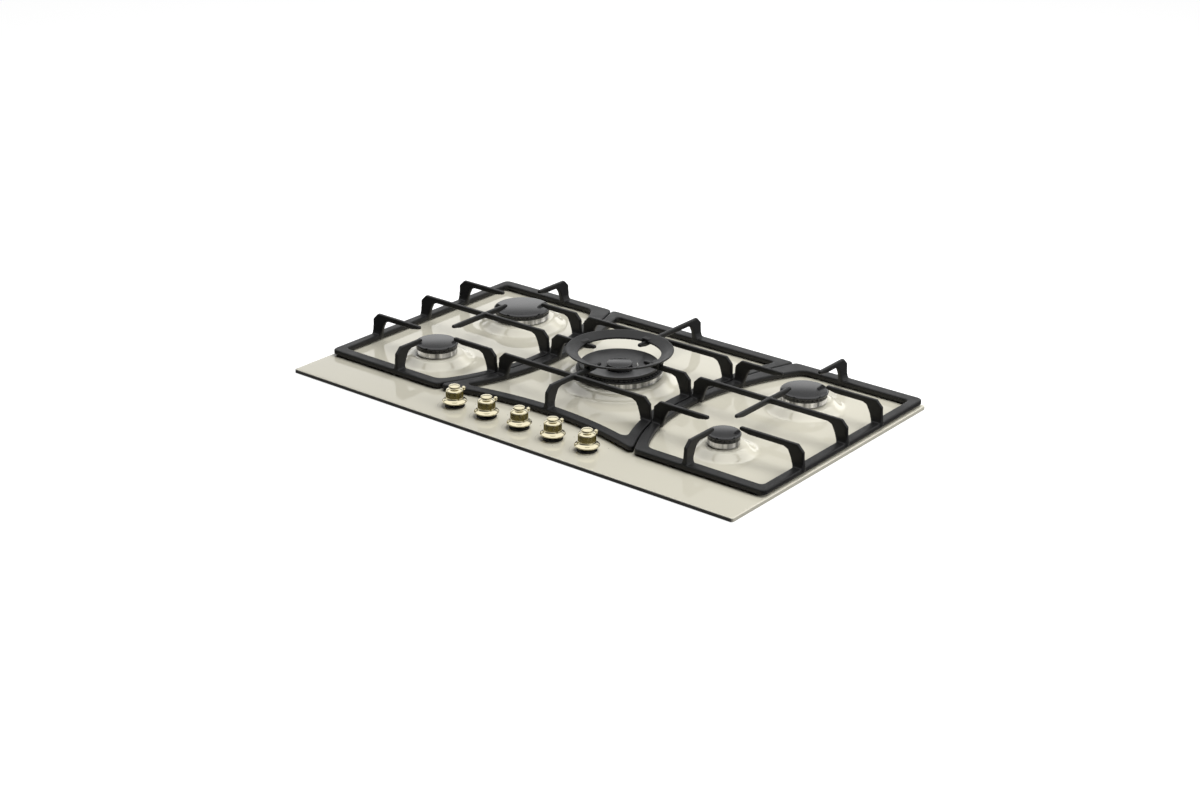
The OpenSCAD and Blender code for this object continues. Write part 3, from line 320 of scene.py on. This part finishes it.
# Painted shade: a darker copy of the brass for the ribbed barrel.
PAINTED_SHADE_GRIP = new_material("ribbed brass, painted shade", ((0.11, 0.09, 0.025), (0.17, 0.14, 0.045)), (0.2, 0.3),
                    metallic=1.0, grain=(400.0, 0.05, 0.0001), wear=120.0)
ZINC = new_material("zinc-plated steel", ((0.50, 0.51, 0.52), (0.60, 0.61, 0.62)), (0.3, 0.5),
                    metallic=1.0, grain=(35.0, 0.04, 0.0001), wear=20.0)
CERAMIC = new_material("ceramic", ((0.76, 0.75, 0.71), (0.82, 0.81, 0.78)), (0.35, 0.5),
                       grain=(300.0, 0.05, 0.0001), wear=60.0)
PLASTIC = new_material("moulded plastic", ((0.50, 0.50, 0.48), (0.54, 0.54, 0.52)), (0.4, 0.55),
                       grain=(600.0, 0.1, 0.0002), wear=60.0)
PRINT = new_material("printed dot", ((0.20, 0.19, 0.16), (0.24, 0.23, 0.19)), (0.15, 0.25),
                     grain=(300.0, 0.02, 0.0001), wear=60.0)
PRINT_ARC = new_material("printed arc", ((0.50, 0.475, 0.40), (0.54, 0.515, 0.435)), (0.15, 0.25),
                         grain=(300.0, 0.02, 0.0001), wear=60.0)
print("materials:", len(bpy.data.materials))

# %% [markdown]
# ## The spreader's two zones
#
# A spreader is one casting with two looks, so its material mixes them: bright alloy below with
# upright bands of painted reflection, and a crown above painted black, as painted shade of its
# slots under the cap. The same mask drives colour, metal and roughness, so the three change at
# the same height.

# %% Flame spreader
def spreader_material(crown=0.0718):
    """Bright alloy with bands of painted reflection below the crown's height, and black painted shade
    above it.
    """
    material = bpy.data.materials.new("spreader, painted bands and shade")
    material.use_nodes = True
    tree = material.node_tree
    shader = tree.nodes["Principled BSDF"]
    painted_bands, above = tree.nodes.new("ShaderNodeGroup"), tree.nodes.new("ShaderNodeGroup")
    painted_bands.node_tree, above.node_tree = PAINTED_BANDS, ABOVE
    painted_bands.inputs["Scale"].default_value = 110.0
    above.inputs["Height"].default_value = crown
    alloy, paint = tree.nodes.new("ShaderNodeMix"), tree.nodes.new("ShaderNodeMix")
    alloy.data_type = paint.data_type = "RGBA"
    # Painted reflection: the two alloy tones are the light and dark bands of the ring's reflections.
    alloy.inputs[6].default_value = (0.16, 0.16, 0.165, 1.0)
    alloy.inputs[7].default_value = (0.90, 0.90, 0.93, 1.0)
    # Painted shade: the crown's near-black stands for the shade of its slots under the cap.
    paint.inputs[7].default_value = (0.018, 0.018, 0.018, 1.0)
    shine, rough = tree.nodes.new("ShaderNodeMapRange"), tree.nodes.new("ShaderNodeMapRange")
    shine.inputs["To Min"].default_value, shine.inputs["To Max"].default_value = 1.0, 0.0
    rough.inputs["To Min"].default_value, rough.inputs["To Max"].default_value = 0.2, 0.4
    link = tree.links.new
    link(painted_bands.outputs["Mask"], alloy.inputs[0])
    link(above.outputs["Mask"], paint.inputs[0])
    link(alloy.outputs[2], paint.inputs[6])
    link(above.outputs["Mask"], shine.inputs["Value"])
    link(above.outputs["Mask"], rough.inputs["Value"])
    link(paint.outputs[2], shader.inputs["Base Color"])
    link(shine.outputs["Result"], shader.inputs["Metallic"])
    link(rough.outputs["Result"], shader.inputs["Roughness"])
    return material


PAINTED_SPREADER = spreader_material()
FINISH = {"cream_enamel": ENAMEL, "black_rubber": RUBBER, "cast_iron": IRON, "black_cap_enamel": CAP,
          "burner_alloy": ALLOY, "brass": BRASS, "white_ceramic": CERAMIC, "grey_plastic": PLASTIC,
          "zinc_steel": ZINC}
print("finishes:", len(FINISH), "and", PAINTED_SPREADER.name)

# %% [markdown]
# ## Painting the carried-over pieces
#
# Every CAD node gets the finish of its material slot, and the imported meshes stay as they are.
# The pieces could be painted one by one, but the slots already say what each is made of. Only
# the spreaders and the cups need a finish of their own; the cups are near-black, as painted shade
# for the dark seam under each spreader.

# %% Paint the pieces
slot_of = {row["node"]: row["material_slot"] for row in record["subparts"]}
for name, piece in nodes.items():
    piece.data.materials.clear()
    finish = FINISH[slot_of[name]]
    if name.endswith("_spreader"):
        finish = PAINTED_SPREADER
    # The cups carry the painted seam shade.
    if name.endswith("_cup"):
        finish = SEAM_SHADE_CUP
    piece.data.materials.append(finish)
print("painted:", len(nodes))

# %% [markdown]
# ## Helpers that make meshes
#
# `add_piece` turns vertices and faces into a piece of the object: it takes a finish, rides on a
# body of the frame and, where it stands for a CAD node, replaces that node's picture.
# `turned` spins a profile of (radius, height) pairs round an upright axis, like a lathe; `rib`
# moves every other step in and out, for a ribbed grip. `rounded` softens the corners of such a
# profile. A Screw and a Bevel modifier could do both, but a formula keeps every ring in place.

# %% Helpers for turned pieces
def add_piece(name, verts, faces, finish, body, stands_for=(), smooth=60.0):
    mesh = bpy.data.meshes.new(name)
    mesh.from_pydata(verts, [], faces)
    mesh.validate()
    piece = bpy.data.objects.new(name, mesh)
    bpy.context.scene.collection.objects.link(piece)
    tidy = bmesh.new()
    tidy.from_mesh(mesh)
    bmesh.ops.remove_doubles(tidy, verts=tidy.verts, dist=1e-6)
    bmesh.ops.recalc_face_normals(tidy, faces=tidy.faces)
    tidy.to_mesh(mesh)
    tidy.free()
    mesh.materials.append(finish)
    mesh.shade_smooth()
    mesh.set_sharp_from_angle(angle=math.radians(smooth))
    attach(piece, body)
    if stands_for:
        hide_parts(*stands_for)
    return piece


def turned(profile, centre, steps=96, rib=0.0):
    verts, faces = [], []
    for step in range(steps):
        angle = math.tau * step / steps
        for radius, height in profile:
            radius += rib if step % 2 else -rib
            verts.append((mm(centre[0] + radius * math.cos(angle)),
                          mm(centre[1] + radius * math.sin(angle)), mm(height)))
    count = len(profile)
    for step in range(steps):
        a, b = step * count, (step + 1) % steps * count
        for row in range(count - 1):
            faces.append((a + row, b + row, b + row + 1, a + row + 1))
    return verts, faces


def rounded(points, radius=0.5, steps=4):
    """Rounds the inner corners of an open profile."""
    out = [points[0]]
    for before, corner, after in zip(points, points[1:], points[2:]):
        c = Vector(corner)
        u, v = Vector(before) - c, Vector(after) - c
        reach = min(radius, u.length * 0.45, v.length * 0.45)
        start, end = c + u.normalized() * reach, c + v.normalized() * reach
        for step in range(steps + 1):
            t = step / steps
            out.append(tuple((1 - t) ** 2 * start + 2 * t * (1 - t) * c + t * t * end))
    out.append(points[-1])
    return out


print("helpers ready")

# %% [markdown]
# ## The pressed enamel panel
#
# One pressed sheet with a soft raised seat under each burner. A press leaves no sharp edge, so
# a seat's height depends only on the distance from its burner, with rounded bends at the top and
# the foot of the slope. Rings of faces round each burner could do it too, but a plain grid lets
# the seats lie anywhere and meet each other.

# %% Height of the raised seats
def soft_step(distance, bend):
    """Zero before the bend, the distance after it, and a smooth bend between."""
    if distance <= -bend:
        return 0.0
    if distance >= bend:
        return distance
    return (distance + bend) ** 2 / (4 * bend)


def seat_height(x, y):
    height = 0.0
    for bx, by, ring in BURNERS.values():
        away = math.hypot(x - bx, y - by)
        land = ring + SEAT_LAND
        fall = soft_step(away - land, SEAT_BEND) - soft_step(away - land - SEAT_SLOPE, SEAT_BEND)
        height = max(height, SEAT_RISE * (1.0 - fall / SEAT_SLOPE))
    return height


print("height at the wok burner:", seat_height(*BURNERS["wok"][:2]))

# %% [markdown]
# ### The sheet and its rim
#
# The grid leaves a hole for each burner and each knob. The sheet's edge turns down in a small
# radius, and an inner face follows one sheet's thickness behind. The rim could come from a Bevel
# modifier, but it would also round the holes.

# %% The sheet
def panel_mesh(pitch=2.0, corner=4.0, bend=1.5, sheet=1.2, snap=0.6):
    """A grid of the top with its holes, then the rolled edge round it, column by column.

    Grid points within `snap` of a pitch from a burner's hole move onto its circle.
    """
    half_w, half_d = PANEL_W / 2 - corner, PANEL_D / 2 - corner
    columns, rows = round(2 * half_w / pitch), round(2 * half_d / pitch)
    verts, index = [], {}
    for i in range(columns + 1):
        for j in range(rows + 1):
            x, y = -half_w + 2 * half_w * i / columns, -half_d + 2 * half_d * j / rows
            for bx, by, ring in BURNERS.values():
                hole = ring - SEAT_LIP
                away = math.hypot(x - bx, y - by)
                if 0 < abs(away - hole) < snap * pitch:
                    x, y = bx + (x - bx) * hole / away, by + (y - by) * hole / away
            index[i, j] = len(verts)
            verts.append((mm(x), mm(y), mm(PANEL + seat_height(x, y))))
    holes = [(mm(bx), mm(by), mm(ring - SEAT_LIP)) for bx, by, ring in BURNERS.values()]
    holes += [(mm(x), mm(KNOB_Y), mm(KNOB_HOLE_R)) for x in KNOB_X.values()]
    faces = []
    for i in range(columns):
        for j in range(rows):
            quad = (index[i, j], index[i + 1, j], index[i + 1, j + 1], index[i, j + 1])
            cx = sum(verts[v][0] for v in quad) / len(quad)
            cy = sum(verts[v][1] for v in quad) / len(quad)
            if all(math.hypot(cx - hx, cy - hy) > hr for hx, hy, hr in holes):
                faces.append(quad)
    turn = math.pi / 12
    drop = [(0.0, 0.0)] + [(corner - bend + bend * math.sin(turn * k), bend * (math.cos(turn * k) - 1))
                           for k in range(7)]
    drop += [(corner, RIM_FOOT - PANEL), (corner - sheet, RIM_FOOT - PANEL), (corner - sheet, -bend)]
    loop = [(index[i, 0], (0, -1)) for i in range(columns + 1)]
    loop += [(index[columns, j], (1, 0)) for j in range(rows + 1)]
    loop += [(index[i, rows], (0, 1)) for i in range(columns, -1, -1)]
    loop += [(index[0, j], (-1, 0)) for j in range(rows, -1, -1)]
    full = []
    for (v, way), (w, next_way) in zip(loop, loop[1:] + loop[:1]):
        full.append((v, way))
        if v == w and way != next_way:
            start = math.atan2(way[1], way[0])
            full += [(v, (math.cos(start + turn * k), math.sin(start + turn * k)))
                     for k in range(1, 6)]
    first = len(verts)
    for v, (dx, dy) in full:
        x, y, _ = verts[v]
        verts += [(x + mm(out * dx), y + mm(out * dy), mm(PANEL + down)) for out, down in drop]
    count = len(drop)
    for k in range(len(full)):
        a, b = first + k * count, first + (k + 1) % len(full) * count
        faces += [(a + r, a + r + 1, b + r + 1, b + r) for r in range(count - 1)]
    return verts, faces


panel = add_piece("enamelled_panel", *panel_mesh(), ENAMEL, "base",
                  ["top_panel", "burner_seats"], smooth=50.0)
print("panel faces:", len(panel.data.polygons))

# %% [markdown]
# ## Cast pieces
#
# A casting has no sharp edge: every corner is rounded and every join has a fillet. A bevel
# rounds corners but makes no fillets where bars cross. A fine remesh of the CAD solid, smoothed
# a little, gives both at once. A support's bars and its fingers are two CAD nodes, and are
# joined into one casting first.

# %% Pan supports and wok ring
BAR_TOP = 63.0
SINK = 1.0
GRID = 1.1
ROUNDS = 9


def cast(name, body, sources):
    """One casting from CAD nodes that meet face to face: each later one is let into the first."""
    joined = bmesh.new()
    for step, node in enumerate(sources):
        part = nodes[node].data.copy()
        part.transform(nodes[node].matrix_world)
        for vertex in part.vertices:
            if step and vertex.co.z < mm(BAR_TOP + 0.05):
                vertex.co.z -= mm(SINK)
        joined.from_mesh(part)
    solid = bpy.data.meshes.new(name)
    joined.to_mesh(solid)
    joined.free()
    solid.materials.clear()
    piece = bpy.data.objects.new(name, solid)
    bpy.context.scene.collection.objects.link(piece)
    remesh = piece.modifiers.new("even grid", "REMESH")
    remesh.mode, remesh.voxel_size, remesh.use_smooth_shade = "VOXEL", mm(GRID), True
    relax = piece.modifiers.new("rounding", "SMOOTH")
    relax.factor, relax.iterations = 0.5, ROUNDS
    ready = piece.evaluated_get(bpy.context.evaluated_depsgraph_get())
    mesh = bpy.data.meshes.new_from_object(ready)
    piece.modifiers.clear()
    piece.data = mesh
    mesh.materials.clear()
    mesh.materials.append(IRON)
    mesh.shade_smooth()
    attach(piece, body)
    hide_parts(*sources)
    return piece


for side, body in (("left", "left_support"), ("centre", "middle_support"), ("right", "right_support")):
    made = cast(f"cast_{side}_grate", body, [side + "_grate", side + "_fingers"])
    print(made.name, len(made.data.polygons))
made = cast("cast_wok_ring", "wok_ring", ["wok_ring"])
print(made.name, len(made.data.polygons))

# %% [markdown]
# ## Burner caps
#
# The four plain caps are low discs with rounded edges. The wok burner has a dished ring
# and a small cap in the middle, with the tip of an igniter beside it. They are round, so each
# is a turned profile: the CAD discs could stay, but their edges would catch no light.

# %% Caps
CAP_FOOT, CAP_TOP, CAP_OVER = 76.5, 81.5, 1.4
CAP_LOWER, CAP_UPPER = 0.9, 1.8
WOK = BURNERS["wok"][:2]
for name, (x, y, ring) in BURNERS.items():
    if name == "wok":
        continue
    outer = ring + CAP_OVER
    profile = [(0.0, CAP_FOOT), (outer - CAP_LOWER, CAP_FOOT), (outer, CAP_FOOT + CAP_LOWER),
               (outer, CAP_TOP - CAP_UPPER), (outer - CAP_UPPER, CAP_TOP), (0.0, CAP_TOP)]
    add_piece("disc_" + name, *turned(rounded(profile, 1.1), (x, y)), CAP, name + "_cap",
              [name + "_cap"], smooth=70.0)
dish = [(22.2, 72.8), (26.0, 71.6), (38.1, 73.5), (57.0, 76.5), (63.0, 76.5), (63.5, 77.4),
        (63.5, 80.9), (62.6, 81.5), (60.8, 81.3), (50.8, 78.9), (38.1, 75.9), (25.0, 74.0), (22.2, 72.8)]
add_piece("wok_dish", *turned(rounded(dish, 0.8), WOK, 128), DISH, "wok_outer_cap",
          ["wok_outer_cap"], smooth=70.0)
button = [(0.0, 78.0), (19.9, 78.0), (20.7, 78.9), (20.7, 81.2), (19.9, 82.0), (0.0, 82.0)]
add_piece("wok_centre", *turned(rounded(button, 0.6), WOK), CAP, "wok_inner_cap",
          ["wok_inner_cap"], smooth=70.0)
pin = [(0.0, 76.0), (1.3, 76.0), (1.3, 79.2), (0.9, 80.2), (0.9, 81.0), (0.0, 81.3)]
PIN_AT = (22.2, 55.1)
add_piece("wok_spark_pin", *turned(rounded(pin, 0.3), PIN_AT, 24), CERAMIC, "wok_outer_cap")
print("caps: 6")

# %% [markdown]
# ## Knobs
#
# Turned brass: a bell-shaped flange, a straight barrel with a ribbed grip, a rounded shoulder,
# a neck and a domed button. A thin pin with a ball at its end is the lever that shows where it
# points. The grip is a ring of its own, so that it can have ribs and a darker colour, which is
# painted shade; a bump would be too flat at its outline.

# %% Knobs
KNOB = [(0.0, 4.8), (14.0, 4.8), (18.6, 7.2), (19.4, 8.3), (18.9, 9.4), (17.5, 10.3), (15.6, 11.2),
        (14.2, 12.3), (13.6, 13.4), (13.4, 14.6), (13.4, 25.6), (13.1, 26.5), (12.0, 27.3),
        (10.2, 28.0), (8.6, 28.6), (7.7, 29.3), (7.4, 30.2), (7.7, 31.1), (8.8, 31.8), (9.0, 32.4)]
KNOB += [(9.0 * math.cos(math.radians(a)), 32.4 + 2.6 * math.sin(math.radians(a)))
         for a in range(15, 91, 15)]
GRIP_RING = [(13.2, 15.4), (13.5, 15.7), (13.5, 24.9), (13.2, 25.2)]
RIB = 0.12
STEM_R, STEM_FROM, STEM_TO = 1.4, 6.0, 18.5
BALL_R, BALL_OUT, LEVER_Z = 3.4, 21.0, 22.6


def ball_and_stem(x):
    """The lever of the knob at x: made upright like a turned piece, then laid down to point back."""
    stem = [(STEM_R, STEM_FROM), (STEM_R, STEM_TO)]
    ball = [(BALL_R * math.sin(math.radians(a)), BALL_OUT - BALL_R * math.cos(math.radians(a)))
            for a in range(0, 181, 12)]
    verts, faces = [], []
    for profile in (stem, ball):
        v, f = turned(profile, (0.0, 0.0), 32)
        faces += [tuple(i + len(verts) for i in face) for face in f]
        verts += v
    lay = Matrix.Translation((mm(x), mm(KNOB_Y), mm(PANEL + LEVER_Z)))
    lay = lay @ Matrix.Rotation(-math.pi / 2, 4, "X")
    return [tuple(lay @ Vector(v)) for v in verts], faces


for number, x in KNOB_X.items():
    profile = rounded([(r, PANEL + z) for r, z in KNOB], 0.45, 3)
    ring = [(r, PANEL + z) for r, z in GRIP_RING]
    body, stands_for = f"control_{number}", [f"knob_{number}"]
    add_piece(f"brass_knob_{number}", *turned(profile, (x, KNOB_Y)), BRASS, body, stands_for, 75.0)
    add_piece(f"brass_grip_{number}", *turned(ring, (x, KNOB_Y), 160, RIB), PAINTED_SHADE_GRIP, body, stands_for, 20.0)
    add_piece(f"brass_lever_{number}", *ball_and_stem(x), BRASS, body, stands_for, 75.0)
print("knobs:", len(KNOB_X))

# %% [markdown]
# ## Printed marks
#
# Beside each knob the panel has a printed dot, a smaller one and a thin arc. They could be a
# mask in the enamel's material, but each is crisper as a flat face of its own, a twentieth of a
# millimetre over the enamel.

# %% Marks beside the knobs
MARK_Z = PANEL + 0.05
DOT_AT, DOT_R = (21.4, 24.0), 0.8
SMALL_AT, SMALL_R = (17.2, -20.9), 0.7
ARC_R, ARC_START, ARC_END, ARC_THICK = 26.4, 185.0, 235.0, 0.6


def flat_dot(x, y, radius, steps=20):
    verts = [(mm(x + radius * math.cos(math.tau * k / steps)),
              mm(y + radius * math.sin(math.tau * k / steps)), mm(MARK_Z)) for k in range(steps)]
    return verts, [tuple(range(steps))]


def flat_arc(x, y, radius, start, end, thick, steps=24, tip=0.15):
    """A crescent: it is thickest in the middle, and `tip` is half its width at the ends."""
    verts = []
    for k in range(steps + 1):
        angle = math.radians(start + (end - start) * k / steps)
        half = tip + thick * math.sin(math.pi * k / steps) / 2
        verts += [(mm(x + r * math.cos(angle)), mm(y + r * math.sin(angle)), mm(MARK_Z))
                  for r in (radius - half, radius + half)]
    return verts, [(2 * k, 2 * k + 1, 2 * k + 3, 2 * k + 2) for k in range(steps)]


for number, x in KNOB_X.items():
    for label, (dx, dy), radius in (("dot", DOT_AT, DOT_R), ("small", SMALL_AT, SMALL_R)):
        add_piece(f"mark_{label}_{number}", *flat_dot(x + dx, KNOB_Y + dy, radius), PRINT, "base")
    add_piece(f"mark_arc_{number}", *flat_arc(x, KNOB_Y, ARC_R, ARC_START, ARC_END, ARC_THICK),
              PRINT_ARC, "base")
print("marks:", 3 * len(KNOB_X))

# %% [markdown]
# ## Stage
#
# The cooktop sits in a worktop, so the casing is out of sight. The worktop is almost white by
# itself for the camera, and the lamps bring it to pure white near the object, apart from its
# shadow. In reflections and for scattered light it is dim, so that the rim's front stays deep.
# A plain white floor would light the object from below and wash it out.

# %% The worktop
def floor_mesh(half_w=0.4212, half_d=0.2507, reach=6.0, height=0.0453):
    """A wide square with the cut-out that the casing hangs in."""
    inner = [(-half_w, -half_d), (half_w, -half_d), (half_w, half_d), (-half_w, half_d)]
    outer = [(-reach, -reach), (reach, -reach), (reach, reach), (-reach, reach)]
    verts = [(x, y, height) for x, y in inner + outer]
    faces = [(4 + k, 4 + (k + 1) % 4, (k + 1) % 4, k) for k in range(4)]
    return verts, faces


def floor_material():
    material = bpy.data.materials.new("white worktop")
    material.use_nodes = True
    tree = material.node_tree
    tree.nodes.clear()
    add, link = tree.nodes.new, tree.links.new
    path = add("ShaderNodeLightPath")
    seen = add("ShaderNodeMath")
    seen.operation, seen.use_clamp = "MULTIPLY_ADD", True
    seen.inputs[1].default_value = 0.12
    glow = add("ShaderNodeEmission")
    glow.inputs["Strength"].default_value = 0.85
    lit = add("ShaderNodeBsdfDiffuse")
    lit.inputs["Color"].default_value = (0.5, 0.5, 0.5, 1.0)
    both = add("ShaderNodeAddShader")
    dark = add("ShaderNodeBsdfDiffuse")
    dark.inputs["Color"].default_value = (0.02, 0.02, 0.02, 1.0)
    choose = add("ShaderNodeMixShader")
    out = add("ShaderNodeOutputMaterial")
    link(path.outputs["Is Glossy Ray"], seen.inputs[0])
    link(path.outputs["Is Camera Ray"], seen.inputs[2])
    link(glow.outputs[0], both.inputs[0])
    link(lit.outputs[0], both.inputs[1])
    link(seen.outputs[0], choose.inputs[0])
    link(dark.outputs[0], choose.inputs[1])
    link(both.outputs[0], choose.inputs[2])
    link(choose.outputs[0], out.inputs["Surface"])
    return material


floor_verts, floor_faces = floor_mesh()
floor_data = bpy.data.meshes.new("worktop")
floor_data.from_pydata(floor_verts, [], floor_faces)
floor_data.materials.append(floor_material())
floor = bpy.data.objects.new("worktop", floor_data)
bpy.context.scene.collection.objects.link(floor)
print("stage:", floor.name)

# %% [markdown]
# ## Surroundings and lights
#
# The camera of this scene sees only worktop behind the object. A low view also sees the room,
# as a plain pale grey, because a Background node has the colour 0.8 unless it is given
# another. In reflections the room is bright up to about 20 degrees above the horizon, which
# gives the far half of the panel its lighter sheen, grey above that, and bright again from 35
# degrees up, for the domes of the knobs. Below that, the side in front is kept dim. White
# cards round the object could give the same reflections, but a graded sky needs no extra
# meshes.

# %% The room
def build_world():
    world = bpy.data.worlds.new("studio")
    bpy.context.scene.world = world
    world.use_nodes = True
    tree = world.node_tree
    tree.nodes.clear()
    add, link = tree.nodes.new, tree.links.new
    where = add("ShaderNodeTexCoord")
    split = add("ShaderNodeSeparateXYZ")
    link(where.outputs["Generated"], split.inputs[0])

    def ramp(source, low, high, start, end):
        node = add("ShaderNodeMapRange")
        node.interpolation_type = "SMOOTHSTEP"
        for label, value in (("From Min", low), ("From Max", high), ("To Min", start), ("To Max", end)):
            node.inputs[label].default_value = value
        link(source, node.inputs["Value"])
        return node.outputs["Result"]

    def times(a, b):
        node = add("ShaderNodeMath")
        node.operation = "MULTIPLY"
        link(a, node.inputs[0])
        link(b, node.inputs[1])
        return node.outputs[0]

    rise = ramp(split.outputs["Z"], 0.33, 0.41, 1.8, 0.42)
    depth = ramp(split.outputs["Y"], -0.7, 0.05, 0.08, 1.0)
    high = ramp(split.outputs["Z"], 0.46, 0.58, 0.0, 1.8)
    either = add("ShaderNodeMath")
    either.operation = "MAXIMUM"
    link(times(rise, depth), either.inputs[0])
    link(high, either.inputs[1])
    mirror = either.outputs[0]
    ambient = ramp(split.outputs["Y"], -0.1, 0.5, 0.0, 0.6)
    path = add("ShaderNodeLightPath")
    pick = add("ShaderNodeMix")
    link(path.outputs["Is Glossy Ray"], pick.inputs[0])
    link(ambient, pick.inputs[2])
    link(mirror, pick.inputs[3])
    lighten = add("ShaderNodeMath")
    lighten.operation = "MAXIMUM"
    link(pick.outputs[0], lighten.inputs[0])
    link(path.outputs["Is Camera Ray"], lighten.inputs[1])
    shade = add("ShaderNodeBackground")
    out = add("ShaderNodeOutputWorld")
    link(lighten.outputs[0], shade.inputs["Strength"])
    link(shade.outputs[0], out.inputs["Surface"])
    return world


print("room:", build_world().name)

# %% [markdown]
# ### The soft boxes
#
# Two soft boxes light the scene, one overhead and one from the right, which brightens the
# panel's right edge. A sun lamp would be simpler, but its shadows are too sharp for a studio.
# Reflections show the room and not the boxes.

# %% The soft boxes
def soft_box(name, place, target, size, power):
    lamp = bpy.data.lights.new(name, "AREA")
    lamp.shape, lamp.size, lamp.energy = "SQUARE", size, power
    holder = bpy.data.objects.new(name, lamp)
    holder.location = place
    holder.rotation_euler = (Vector(target) - Vector(place)).to_track_quat("-Z", "Y").to_euler()
    holder.visible_glossy = False
    bpy.context.scene.collection.objects.link(holder)
    return holder


soft_box("overhead box", (0.3, 0.5, 2.0), (0.0, 0.0, 0.05), 1.7, 41.0)
soft_box("right box", (2.4, 0.3, 1.0), (0.0, 0.0, 0.05), 1.2, 26.0)
print("lights: 2")

# %% [markdown]
# ## Camera
#
# The camera stands to the right in front of the cooktop and looks down at about 23 degrees.
# Its place, direction and lens were solved from the panel's corners and edges, the rows of the
# supports' fingers and the burner rings. A Track To constraint would aim it too, but a matrix
# also holds its slight roll.

# %% Camera
TURN, TILT, ROLL = math.radians(38.2721), math.radians(22.8075), math.radians(0.5835)
EYE = (1.90197, -2.42196, 1.32433)
ahead = Vector((-math.sin(TURN) * math.cos(TILT), math.cos(TURN) * math.cos(TILT), -math.sin(TILT)))
level = Vector((math.cos(TURN), math.sin(TURN), 0.0))
upward = level.cross(ahead)
right = math.cos(ROLL) * level + math.sin(ROLL) * upward
top = -math.sin(ROLL) * level + math.cos(ROLL) * upward
camera_data = bpy.data.cameras.new("camera")
camera_data.sensor_width, camera_data.lens = 36.0, 63.292
camera = bpy.data.objects.new("camera", camera_data)
camera.matrix_world = Matrix((
    (right.x, top.x, -ahead.x, EYE[0]),
    (right.y, top.y, -ahead.y, EYE[1]),
    (right.z, top.z, -ahead.z, EYE[2]),
    (0.0, 0.0, 0.0, 1.0)))
bpy.context.scene.collection.objects.link(camera)
bpy.context.scene.camera = camera
bpy.context.scene.view_settings.view_transform = "Standard"
print("lens:", camera_data.lens)

# %% [markdown]


print("scene ready")
